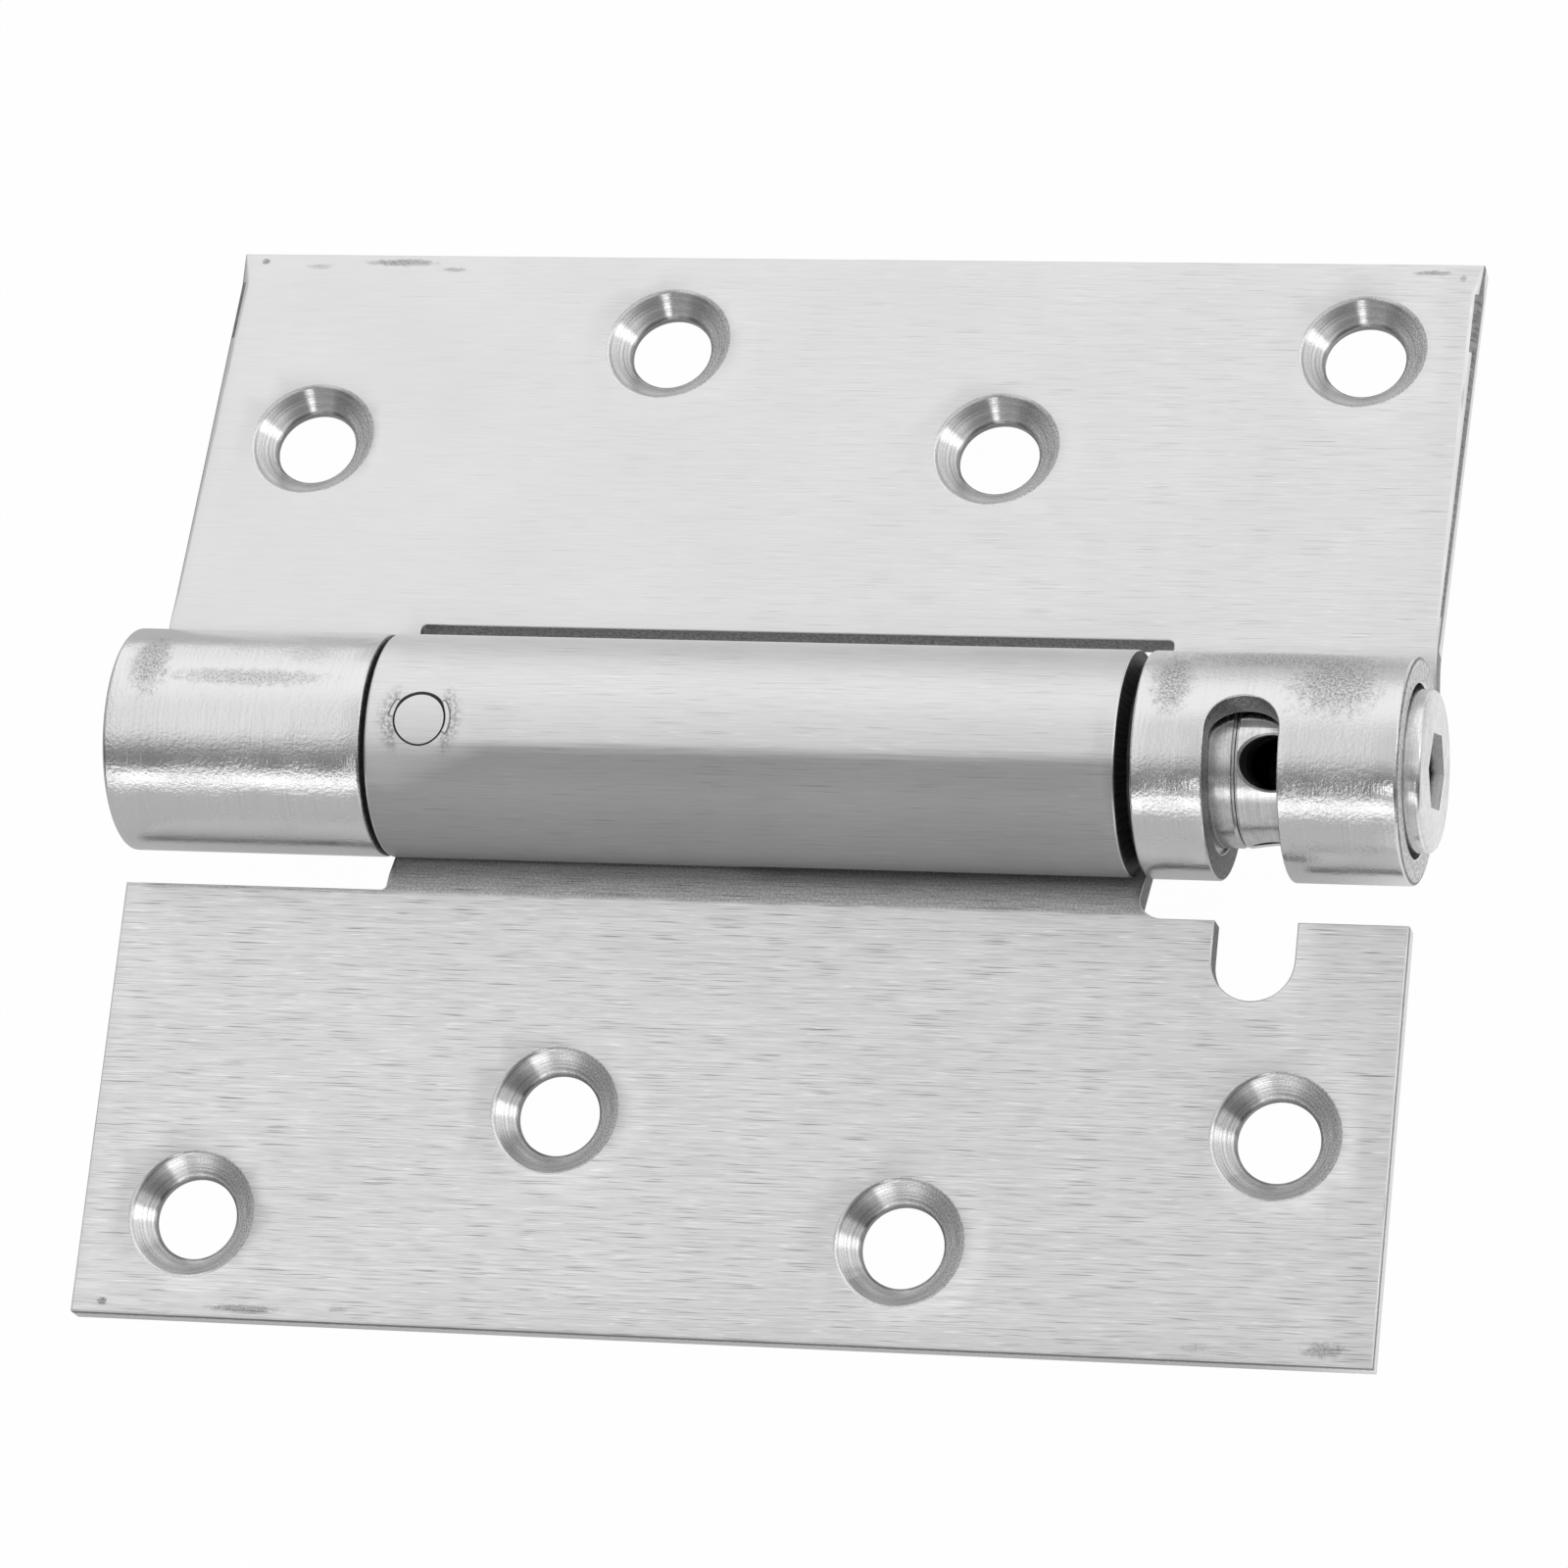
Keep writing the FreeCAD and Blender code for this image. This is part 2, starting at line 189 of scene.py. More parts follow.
BLANK_LENGTH = CURL_BEGIN + BORE_RADIUS * (2 * math.pi - CURL_END + CURL_START)


def section(s, depth):
    """Where a point of the blank goes: distance from the axis along the leaf, and height."""
    if s <= FLAT_END:
        return LEAF_DEPTH - s, -FACE_OFFSET - depth
    if s <= BEND_END:
        turn = (s - FLAT_END) / BEND_RADIUS
        radius = BEND_RADIUS - depth
        return BEND_U - radius * math.sin(turn), BEND_Z + radius * math.cos(turn)
    if s <= CURL_BEGIN:
        share = (s - BEND_END) / (CURL_BEGIN - BEND_END)
        point = SLOPE_HEAD.lerp(SLOPE_FOOT, share)
        return point.x + depth * math.sin(SWAGE_SLOPE), point.y - depth * math.cos(SWAGE_SLOPE)
    angle = CURL_START - (s - CURL_BEGIN) / BORE_RADIUS
    radius = BORE_RADIUS + depth
    return radius * math.cos(angle), radius * math.sin(angle)


def blank_at(u):
    """Blank station of a distance from the axis, on the leaf."""
    return LEAF_DEPTH - u


def blank_at_angle(degrees):
    """Blank station of an angle round the axis, counted from the leaf's own side."""
    return CURL_BEGIN + BORE_RADIUS * (CURL_START + 2 * math.pi - math.radians(degrees))


def row_stations():
    """Blank stations of the mesh's rows, closer together where the sheet curves."""
    rows = []
    count = round(FLAT_END / ROW_STEP)
    rows += [FLAT_END * i / count for i in range(count)]
    count = round(SWAGE_SLOPE / CURL_STEP / 1.5)
    rows += [FLAT_END + (BEND_END - FLAT_END) * i / count for i in range(count)]
    rows += [BEND_END + (CURL_BEGIN - BEND_END) * i / 2 for i in range(2)]
    count = round((BLANK_LENGTH - CURL_BEGIN) / (BORE_RADIUS * CURL_STEP))
    rows += [CURL_BEGIN + (BLANK_LENGTH - CURL_BEGIN) * i / count for i in range(count + 1)]
    return rows


ROWS = row_stations()


# Outline of a blank

def column_stations(start, end):
    count = max(1, round(abs(end - start) / COLUMN_STEP))
    return [start + (end - start) * i / count for i in range(count + 1)]


def along_x(start, end, s):
    return [(x, s) for x in column_stations(start, end)]


def along_s(x, start, end):
    rows = [s for s in ROWS if min(start, end) + 0.05 < s < max(start, end) - 0.05]
    if end < start:
        rows.reverse()
    return [(x, start)] + [(x, s) for s in rows] + [(x, end)]


def arc_points(x, s, radius, start, end, count=8):
    points = []
    for i in range(count + 1):
        angle = math.radians(start + (end - start) * i / count)
        points.append((x + radius * math.cos(angle), s + radius * math.sin(angle)))
    return points


def joined(*runs):
    """One loop from several runs, each point once."""
    loop = []
    for run in runs:
        for point in run:
            if not loop or math.dist(loop[-1], point) > 0.01:
                loop.append(point)
    if math.dist(loop[0], loop[-1]) < 0.01:
        loop.pop()
    return loop


def jamb_outline():
    """Leaf with two outer knuckles, going round with the metal on the left."""
    left = DOOR_KNUCKLE[0] - KNUCKLE_GAP
    right = DOOR_KNUCKLE[1] + KNUCKLE_GAP
    edge = blank_at(JAMB_RELIEF)
    small = CORNER_SMALL
    return joined(
        along_x(-HALF, HALF, 0.0),
        along_s(HALF, 0.0, BLANK_LENGTH),
        along_x(HALF, right, BLANK_LENGTH),
        along_s(right, BLANK_LENGTH, edge + small),
        arc_points(right - small, edge + small, small, 0, -90),
        along_x(right - small, left + small, edge),
        arc_points(left + small, edge + small, small, -90, -180),
        along_s(left, edge + small, BLANK_LENGTH),
        along_x(left, -HALF, BLANK_LENGTH),
        along_s(-HALF, BLANK_LENGTH, 0.0),
    )


def door_outline():
    """Leaf with one long middle knuckle and the notch beside it."""
    left, right = DOOR_KNUCKLE
    left_edge = blank_at(DOOR_RELIEF_LEFT)
    right_edge = blank_at(DOOR_RELIEF_RIGHT)
    small, large = CORNER_SMALL, CORNER_LARGE
    round_end = (NOTCH[1] - NOTCH[0]) / 2
    middle = (NOTCH[0] + NOTCH[1]) / 2
    bottom = blank_at(NOTCH_BOTTOM) + round_end
    return joined(
        along_x(-HALF, HALF, 0.0),
        along_s(HALF, 0.0, right_edge),
        along_x(HALF, NOTCH[1], right_edge),
        along_s(NOTCH[1], right_edge, bottom),
        arc_points(middle, bottom, round_end, 0, -180, 24),
        along_s(NOTCH[0], bottom, right_edge),
        along_x(NOTCH[0], right + large, right_edge),
        arc_points(right + large, right_edge + large, large, 270, 180, 12),
        along_s(right, right_edge + large, BLANK_LENGTH),
        along_x(right, left, BLANK_LENGTH),
        along_s(left, BLANK_LENGTH, left_edge + small),
        arc_points(left - small, left_edge + small, small, 0, -90),
        along_x(left - small, -HALF, left_edge),
        along_s(-HALF, left_edge, 0.0),
    )


def blend(value, low, high):
    """Smooth step from 0 to 1 between low and high."""
    share = min(1.0, max(0.0, (value - low) / (high - low)))
    return share * share * (3 - 2 * share)


def jamb_edges(x, s):
    """Radii of the rolled edges on the screw face's side and on the back."""
    if abs(x) > HALF - 0.01 and s < FLAT_END:
        front = 0.95 - 0.65 * s / FLAT_END
        return (0.15 if s < 0.01 else front), 0.15
    if s > CURL_BEGIN:
        return 0.12, 0.12 + 0.23 * blend(s, CURL_BEGIN, CURL_BEGIN + 2)
    return 0.12, 0.12


def door_edges(x, s):
    """The same for the door leaf, whose right knuckle edge the rolling dragged."""
    if s > CURL_BEGIN:
        roll = 0.12 if x < 0 else 0.85
        return 0.12, 0.12 + roll * blend(s, CURL_BEGIN, CURL_BEGIN + 3)
    return 0.15, 0.12


def cut_edges(x, _):
    """The same for the slot, on the right, and for the cross pin's two holes."""
    return 0.12, 0.14 if x > 0 else 0.09


# Profile of the dragged edge, in shares of its size
DRAGGED_EDGE = [(0.0, 1.4), (0.42, 0.95), (0.74, 0.36), (0.86, 0.08), (1.0, 0.0)]


def inward_normals(loop):
    """Directions into the metal at each point, lengthened at corners."""
    normals = []
    count = len(loop)
    for i in range(count):
        before = Vector(loop[i]) - Vector(loop[i - 1])
        after = Vector(loop[(i + 1) % count]) - Vector(loop[i])
        first = Vector((-before.y, before.x)).normalized()
        second = Vector((-after.y, after.x)).normalized()
        mean = (first + second).normalized()
        normals.append(mean / max(0.5, mean.dot(first)))
    return normals


def edge_rings(loop, edges):
    """Rings of points from the screw face round the rolled edges to the back."""
    normals = inward_normals(loop)
    rings = []
    for part in range(2):
        for step in range(ROUND_STEPS + 1):
            turn = math.pi / 2 * step / ROUND_STEPS
            ring = []
            for (x, s), normal in zip(loop, normals):
                front, back = edges(x, s)
                if part == 0:
                    offset = front * (1 - math.sin(turn))
                    depth = front * (1 - math.cos(turn))
                elif back > 0.5:
                    across, drop = DRAGGED_EDGE[step]
                    offset, depth = back * across, SHEET - back * drop
                else:
                    offset = back * (1 - math.cos(turn))
                    depth = SHEET - back * (1 - math.sin(turn))
                ring.append((x + normal.x * offset, s + normal.y * offset, depth))
            rings.append(ring)
    return rings


def screw_hole_rings(x, s):
    """Countersink with the steps that its cutter leaves, down to the through hole."""
    cone = (COUNTERSINK - SCREW_HOLE) / COUNTERSINK_SLOPE
    profile = [(COUNTERSINK + 0.10, 0.0), (COUNTERSINK + 0.03, 0.03)]
    steps = 6
    for i in range(steps):
        share = (i + 0.15) / steps
        radius = COUNTERSINK + (SCREW_HOLE - COUNTERSINK) * share
        profile.append((radius, cone * share + 0.018))
        share = (i + 0.85) / steps
        radius = COUNTERSINK + (SCREW_HOLE - COUNTERSINK) * share
        profile.append((radius, cone * share - 0.006))
    profile += [
        (SCREW_HOLE + 0.03, cone - 0.02),
        (SCREW_HOLE, cone + 0.04),
        (SCREW_HOLE, SHEET - 0.12),
        (SCREW_HOLE + 0.04, SHEET - 0.04),
        (SCREW_HOLE + 0.12, SHEET),
    ]
    rings = []
    for radius, depth in profile:
        ring = []
        for i in range(HOLE_STEPS):
            angle = -2 * math.pi * i / HOLE_STEPS
            ring.append((x + radius * math.cos(angle), s + radius * math.sin(angle), depth))
        rings.append(ring)
    return rings


def screw_holes(side):
    """The zigzag of four, turned half a turn for the door leaf."""
    rings = []
    for index in range(4):
        x = side * (index - 1.5) * HOLE_PITCH
        row = NEAR_ROW if index % 2 == 0 else FAR_ROW
        rings.append(screw_hole_rings(x, blank_at(row)))
    return rings


def slot_loop():
    """Slot round the jamb knuckle, with ends that are round on the outer face."""
    half_width = (SLOT[1] - SLOT[0]) / 2
    middle = (SLOT[0] + SLOT[1]) / 2
    end_turn = math.degrees(math.asin(half_width / KNUCKLE_RADIUS))
    top = SLOT_ANGLES[0] + end_turn
    bottom = SLOT_ANGLES[1] - end_turn
    ends = []
    for centre, first in ((top, 180), (bottom, 0)):
        end = []
        for i in range(SLOT_END_STEPS + 1):
            angle = math.radians(first - 180 * i / SLOT_END_STEPS)
            across = math.degrees(math.asin(half_width * math.sin(angle) / KNUCKLE_RADIUS))
            end.append((middle + half_width * math.cos(angle), blank_at_angle(centre - across)))
        ends.append(end)
    up = along_s(SLOT[0], blank_at_angle(bottom), blank_at_angle(top))
    down = along_s(SLOT[1], blank_at_angle(top), blank_at_angle(bottom))
    return joined(up, ends[0], down, ends[1])


def pin_loop(own_angle):
    """Hole across the knuckle for the cross pin, round on the outer face."""
    loop = []
    for i in range(PIN_HOLE_STEPS):
        angle = -2 * math.pi * i / PIN_HOLE_STEPS
        across = math.degrees(math.asin(CROSS_PIN_HOLE * math.sin(angle) / KNUCKLE_RADIUS))
        x = CROSS_PIN_X + CROSS_PIN_HOLE * math.cos(angle)
        loop.append((x, blank_at_angle(own_angle - across)))
    return loop


def is_inside(point, loop):
    """Whether a point of the blank lies inside a loop."""
    x, s = point
    if not min(p[0] for p in loop) < x < max(p[0] for p in loop):
        return False
    inside = False
    for i, (x1, s1) in enumerate(loop):
        x0, s0 = loop[i - 1]
        if (s0 > s) != (s1 > s) and x < x0 + (s - s0) * (x1 - x0) / (s1 - s0):
            inside = not inside
    return inside


# Mesh of a leaf

FACE, BACK, WALL, HOLE = range(4)


class Leaf:
    """Points and faces of a bent sheet, with the run of its grain on every face."""

    def __init__(self, place):
        self.place = place
        self.points = []
        self.faces = []
        self.grain = []
        self.parts = []

    def add_point(self, x, s, depth):
        self.points.append((x, s, depth))
        return len(self.points) - 1

    def add_face(self, corners, grain, part):
        self.faces.append(corners)
        self.grain.append(grain)
        self.parts.append(part)

    def add_boundary(self, rings, part):
        """Walls between the rings of one edge or hole; returns the rings' point numbers."""
        numbers = [[self.add_point(*point) for point in ring] for ring in rings]
        count = len(rings[0])
        run = [0.0]
        for i in range(count):
            here, there = rings[0][i], rings[0][(i + 1) % count]
            run.append(run[-1] + math.dist(here[:2], there[:2]))
        drop = [0.0]
        for first, second in zip(rings, rings[1:]):
            drop.append(drop[-1] + math.dist(first[0], second[0]))
        for k in range(len(rings) - 1):
            for i in range(count):
                j = (i + 1) % count
                corners = [numbers[k][i], numbers[k][j], numbers[k + 1][j], numbers[k + 1][i]]
                low, high = drop[k], drop[k + 1]
                grain = [(run[i], low), (run[i + 1], low), (run[i + 1], high), (run[i], high)]
                self.add_face(corners, grain, part)
        return numbers

    def add_skin(self, loops, part, depth):
        """Fills the face or the back between its loops with rows of points inside."""
        flat, numbers, edges = [], [], []
        for loop in loops:
            first = len(flat)
            for n in loop:
                x, s, _ = self.points[n]
                flat.append(Vector((x, s)))
                numbers.append(n)
            edges += [(first + i, first + (i + 1) % len(loop)) for i in range(len(loop))]
        tree = KDTree(len(flat))
        for i, point in enumerate(flat):
            tree.insert(point.to_3d(), i)
        tree.balance()
        for s in ROWS:
            clear = 1.2 if s < FLAT_END else 0.3
            for x in column_stations(-HALF, HALF):
                _, _, distance = tree.find(Vector((x, s, 0)))
                if distance > clear:
                    flat.append(Vector((x, s)))
                    numbers.append(None)
        points, _, faces, origin, _, _ = delaunay_2d_cdt(flat, edges, [], 2, 1e-5)
        for i, sources in enumerate(origin):
            known = [numbers[k] for k in sources if numbers[k] is not None]
            if known:
                origin[i] = known[0]
            else:
                origin[i] = self.add_point(points[i].x, points[i].y, depth)
        openings = [[self.points[n][:2] for n in loop] for loop in loops[1:]]
        for face in faces:
            corners = [origin[i] for i in face]
            grain = [self.points[n][:2] for n in corners]
            middle = [sum(point[k] for point in grain) / len(grain) for k in range(2)]
            if not any(is_inside(middle, opening) for opening in openings):
                self.add_face(corners, grain, part)

    def build(self, name, finish, materials):
        """Bends the blank and returns it as a Blender object."""
        mesh = bpy.data.meshes.new(name)
        mesh.from_pydata([self.place(*point) for point in self.points], [], self.faces)
        uv = mesh.uv_layers.new(name="grain")
        for polygon, grain, part in zip(mesh.polygons, self.grain, self.parts):
            corners = [self.points[n] for n in self.faces[polygon.index]]
            centre = [sum(c[k] for c in corners) / len(corners) for k in range(3)]
            polygon.material_index = finish(part, *centre)
            polygon.use_smooth = True
            for loop_index, place in zip(polygon.loop_indices, grain):
                uv.data[loop_index].uv = place
        for material in materials:
            mesh.materials.append(material)
        edit = bmesh.new()
        edit.from_mesh(mesh)
        bmesh.ops.recalc_face_normals(edit, faces=edit.faces)
        edit.to_mesh(mesh)
        edit.free()
        mesh.set_sharp_from_angle(angle=math.radians(38))
        leaf = bpy.data.objects.new(name, mesh)
        bpy.context.scene.collection.objects.link(leaf)
        return leaf


def place_jamb(x, s, depth):
    u, z = section(s, depth)
    return Vector((x, AXIS_Y + u, AXIS_Z + z)) * MM


def place_door(x, s, depth):
    u, z = section(s, depth)
    if s > CURL_BEGIN:
        own = math.degrees(CURL_START + 2 * math.pi - (s - CURL_BEGIN) / BORE_RADIUS)
        lift = crease(own, x) * depth / SHEET
        scale = 1 + lift / KNUCKLE_RADIUS
        u, z = u * scale, z * scale
    y = -u * math.cos(PAST_FLAT) - z * math.sin(PAST_FLAT)
    z = -u * math.sin(PAST_FLAT) + z * math.cos(PAST_FLAT)
    return Vector((x, AXIS_Y + y, AXIS_Z + z)) * MM


def crease(own, x):
    """Height of the ridge that the rolling tool leaves along the middle knuckle."""
    away = abs(own - CREASE_ANGLE) / CREASE_REACH
    if away >= 1:
        return 0.0
    left, right = DOOR_KNUCKLE
    ends = blend(x, left + 3, left + 9) * (1 - blend(x, right - 1.5, right))
    return CREASE_HEIGHT * ends * (1 - away) ** 2


# Nodes of the materials, the world and the spring

BUMP_DEPTH = 0.006


class Nodes:
    """Short names for building a tree of nodes."""

    def __init__(self, tree):
        self.tree = tree

    def new(self, kind, values=None, **settings):
        node = self.tree.nodes.new(kind)
        for key, value in settings.items():
            setattr(node, key, value)
        for key, value in (values or {}).items():
            if isinstance(value, bpy.types.NodeSocket):
                self.tree.links.new(value, node.inputs[key])
            else:
                node.inputs[key].default_value = value
        return node

    def math(self, operation, first, second=0.0, third=0.0):
        node = self.new("ShaderNodeMath", {0: first, 1: second, 2: third}, operation=operation)
        return node.outputs[0]

    def muladd(self, first, second, third):
        """First times second, plus third."""
        return self.math("MULTIPLY_ADD", first, second, third)

    def product(self, *factors):
        result = factors[0]
        for factor in factors[1:]:
            result = self.math("MULTIPLY", result, factor)
        return result

    def changed(self, shade, mask, change):
        """Shade with a share added to it, or taken from it, where the mask is 1."""
        return self.product(shade, self.muladd(mask, change, 1.0))

    def away_from(self, value, middle):
        return self.math("ABSOLUTE", self.math("SUBTRACT", value, middle))

    def vector_math(self, operation, first, second=(0, 0, 0)):
        node = self.new("ShaderNodeVectorMath", {0: first, 1: second}, operation=operation)
        return node.outputs[0]

    def length(self, vector):
        return self.new("ShaderNodeVectorMath", {0: vector}, operation="LENGTH").outputs["Value"]

    def remap(self, value, low, high, to_low, to_high, smooth=False):
        node = self.new("ShaderNodeMapRange", {
            "Value": value, "From Min": low, "From Max": high, "To Min": to_low, "To Max": to_high,
        }, interpolation_type="SMOOTHSTEP" if smooth else "LINEAR")
        return node.outputs["Result"]

    def rise(self, value, low, high):
        """Smooth step from 0 to 1."""
        return self.remap(value, low, high, 0.0, 1.0, smooth=True)

    def noise(self, vector, scale=1.0, detail=2.0, roughness=0.5, stretch=None):
        """Noise over a place, each way of it multiplied by the stretch first."""
        if stretch:
            vector = self.vector_math("MULTIPLY", vector, stretch)
        node = self.new("ShaderNodeTexNoise", {
            "Vector": vector, "Scale": scale, "Detail": detail, "Roughness": roughness,
        })
        return node.outputs["Fac"]

    def parts(self, vector):
        return self.new("ShaderNodeSeparateXYZ", {0: vector}).outputs

    def scaled(self, vector, factor):
        node = self.new("ShaderNodeVectorMath", {0: vector, "Scale": factor}, operation="SCALE")
        return node.outputs[0]

    def mix(self, share, first, second):
        """First shader, giving way to the second by its share."""
        values = {0: share, 1: first.outputs[0], 2: second.outputs[0]}
        return self.new("ShaderNodeMixShader", values).outputs[0]

    def bump(self, height, strength):
        """Normal of a surface with hollows of a few thousandths of a millimetre."""
        values = {"Height": height, "Strength": strength, "Distance": BUMP_DEPTH * MM}
        return self.new("ShaderNodeBump", values).outputs["Normal"]


def material(name):
    """A new material and its empty tree."""
    made = bpy.data.materials.new(name)
    made.use_nodes = True
    made.node_tree.nodes.clear()
    return made, Nodes(made.node_tree)


def blank_millimetres(n):
    """Place on the blank: along the barrel, and across it from the free edge."""
    return n.new("ShaderNodeUVMap", uv_map="grain").outputs["UV"]


def axis_millimetres(n):
    """Place measured from the pin axis: along it, and the two ways across."""
    metres = n.new("ShaderNodeTexCoord").outputs["Object"]
    return n.vector_math("SUBTRACT", n.scaled(metres, 1 / MM), (0, AXIS_Y, AXIS_Z))


def grain_stretch(along, across, round_grain):
    """Stretch of a noise whose streaks run along the barrel, or round it."""
    return (across, along, along) if round_grain else (along, across, across)


def scratches(n, place, round_grain, amount):
    """Shade and height of a brushed surface: even grain, long scratches, short dashes."""
    def streaks(along, across, shift=(0, 0, 0), detail=2.0, roughness=0.5):
        drawn = n.vector_math("MULTIPLY", place, grain_stretch(along, across, round_grain))
        return n.noise(n.vector_math("ADD", drawn, shift), detail=detail, roughness=roughness)

    fine = streaks(0.22, 9.0, roughness=0.6)
    dark = n.rise(streaks(0.21, 9.5, detail=1.0, roughness=0.4), 0.60, 0.74)
    bright = n.rise(streaks(0.34, 9.5, shift=(17.3, 4.1, 0), detail=1.0), 0.64, 0.76)
    broad = streaks(0.025, 2.2, shift=(3.7, 9.2, 0))
    change = n.remap(fine, 0.3, 0.7, -0.035, 0.035)
    change = n.muladd(dark, -0.13, change)
    change = n.muladd(bright, 0.10, change)
    change = n.math("ADD", change, n.remap(broad, 0.3, 0.7, -0.012, 0.012))
    shade = n.muladd(change, amount, 1.0)
    height = n.muladd(dark, -0.6, fine)
    height = n.math("SUBTRACT", height, n.math("MULTIPLY", bright, 0.5))
    return shade, height


def smudges(n, place, marks):
    """Sum of soft ragged spots, each with its centre, half sizes and strength."""
    ragged = n.noise(place, scale=1.6, detail=3.0, roughness=0.65)
    total = 0.0
    for x, s, half_length, half_width, strength in marks:
        away = n.vector_math("SUBTRACT", place, (x, s, 0))
        away = n.vector_math("MULTIPLY", away, (1 / half_length, 1 / half_width, 0))
        reach = n.math("ADD", n.length(away), n.muladd(ragged, -1.2, 0.6))
        total = n.math("ADD", total, n.product(n.rise(reach, 1.0, 0.3), strength))
    return n.math("MINIMUM", total, 1.0)


def speckle(n, place, scale):
    """Fine grains, between 0 and 1."""
    return n.rise(n.noise(place, scale=scale, detail=3.0, roughness=0.75), 0.38, 0.62)


def finished(made, n, shader):
    """The material, once its shader is joined to its output."""
    n.new("ShaderNodeOutputMaterial", {"Surface": shader.outputs[0]})
    return made


def metal_shader(n, colour, shade, rough, height, bump, **others):
    values = {
        "Base Color": n.scaled(colour, shade), "Metallic": 1.0, "Roughness": rough,
        "Normal": n.bump(height, bump),
    }
    values.update((key.replace("_", " "), value) for key, value in others.items())
    return n.new("ShaderNodeBsdfPrincipled", values)


def sheet_shader(n, colour, shade, rough, height, bump, anisotropy=0.0, rotation=0.0):
    """Metal whose highlights are drawn out along its grain."""
    return metal_shader(
        n, colour, shade, rough, height, bump,
        Anisotropic=anisotropy, Anisotropic_Rotation=rotation,
        Tangent=n.new("ShaderNodeTangent", direction_type="UV_MAP", uv_map="grain").outputs[0],
    )


def pin_seat(n, place, shade, height):
    """Line round the cross pin, the two ears staked beside it, and the grain that staking left."""
    stretch = KNUCKLE_RADIUS / BORE_RADIUS
    middle = (CROSS_PIN_X, blank_at_angle(180 - CROSS_PIN_ANGLE), 0)
    offset = n.vector_math("MULTIPLY", n.vector_math("SUBTRACT", place, middle), (1, -stretch, 0))
    away = n.length(offset)
    aside, up = n.parts(offset)["X"], n.parts(offset)["Y"]
    turn = n.product(n.math("ARCTAN2", up, aside), 180 / math.pi)
    ears = 0.0
    for ear_middle, half_width in STAKED_EARS:
        ear = n.rise(n.away_from(turn, ear_middle), half_width, half_width - 5.0)
        ears = n.math("MAXIMUM", ears, ear)
    reach = n.muladd(ears, EAR_REACH, CROSS_PIN_HOLE + 0.03)
    outline = n.product(n.rise(n.away_from(away, reach), 0.11, 0.05), ears)
    ends = n.product(ears, n.math("SUBTRACT", 1.0, ears), 4.0)
    last = CROSS_PIN_HOLE + EAR_REACH
    ends = n.product(ends, n.rise(away, last + 0.10, last + 0.02))
    width = n.muladd(n.rise(up, 0.6, 2.0), 0.14, 0.10)
    seam = n.math("SUBTRACT", away, n.math("ADD", width, CROSS_PIN_HOLE))
    line = n.product(n.math("MAXIMUM", outline, ends), 0.7)
    line = n.math("MAXIMUM", line, n.rise(seam, 0.05, 0.0))
    beside = n.product(n.rise(away, 4.3, 2.9), n.rise(n.math("ABSOLUTE", aside), 1.7, 2.4))
    outside = n.rise(n.math("SUBTRACT", away, reach), 0.0, 0.1)
    grain = n.product(beside, speckle(n, place, 3.4), outside)
    shade = n.changed(n.changed(shade, grain, -0.5), line, -0.95)
    return shade, n.muladd(line, -3.0, height)


STEEL = (0.765, 0.765, 0.77)
CREASE_S = blank_at_angle(CREASE_ANGLE)


def brushed_leaf(name, marks, amount, dull_bend):
    """Leaf brushed along the barrel, with finger marks near its edges.

    The door leaf's bend is dull, and below the ridge its knuckle has a duller finish and painted
    shade.
    """
    made, n = material(name)
    place = blank_millimetres(n)
    along, across = n.parts(place)["X"], n.parts(place)["Y"]
    if dull_bend:
        amount = n.remap(n.rise(across, FLAT_END, CURL_BEGIN), 0, 1, amount, 0.36 * amount)
    else:
        amount = n.remap(along, -45, 45, 0.55 * amount, 1.9 * amount)
    shade, height = scratches(n, place, False, amount)
    cloud = n.noise(place, scale=0.07)
    shade = n.product(shade, n.remap(cloud, 0.3, 0.7, 0.975, 1.015))
    spots = n.new("ShaderNodeTexVoronoi", {"Vector": place, "Scale": 0.09}, feature="F1")
    chosen = n.rise(n.parts(spots.outputs["Color"])["X"], 0.55, 0.6)
    spot = n.product(n.rise(spots.outputs["Distance"], 0.016, 0.008), chosen)
    dirt = smudges(n, place, marks)
    specks = speckle(n, place, 4.5)
    shade = n.muladd(spot, -0.45, shade)
    shade = n.changed(shade, dirt, n.remap(specks, 0, 1, -0.62, -0.25))
    rough = n.muladd(dirt, 0.15, 0.34)
    if dull_bend:
        edge = n.noise(place, scale=1.2, detail=3.0, stretch=(0.25, 1.0, 0))
        bend = n.rise(n.muladd(edge, 0.4, across), FLAT_END, FLAT_END + 0.5)
        bend = n.product(bend, n.rise(across, CURL_BEGIN + 4, CURL_BEGIN + 2))
        shade = n.changed(shade, bend, n.remap(specks, 0, 1, -0.36, -0.06))
        rough = n.muladd(bend, 0.2, rough)
        streaks = n.noise(place, stretch=(0.05, 3.5, 3.5))
        fade = n.remap(along, -31.0, -22.0, CREASE_S + 4.5, CREASE_S + 1.3)
        below = n.rise(n.muladd(streaks, 1.1, across), CREASE_S + 0.1, fade)
        # Below the ridge: a rougher, duller finish, plus painted shade standing in for the darker
        # reflection there.
        painted_shade_below_ridge = n.remap(across, CREASE_S + 2, CREASE_S + 12, -0.42, -0.37)
        shade = n.changed(shade, below, painted_shade_below_ridge)
        rough = n.muladd(below, 0.12, rough)
        shade, height = pin_seat(n, place, shade, height)
    return finished(made, n, sheet_shader(n, STEEL, shade, rough, height, 0.35, 0.7, 0.25))


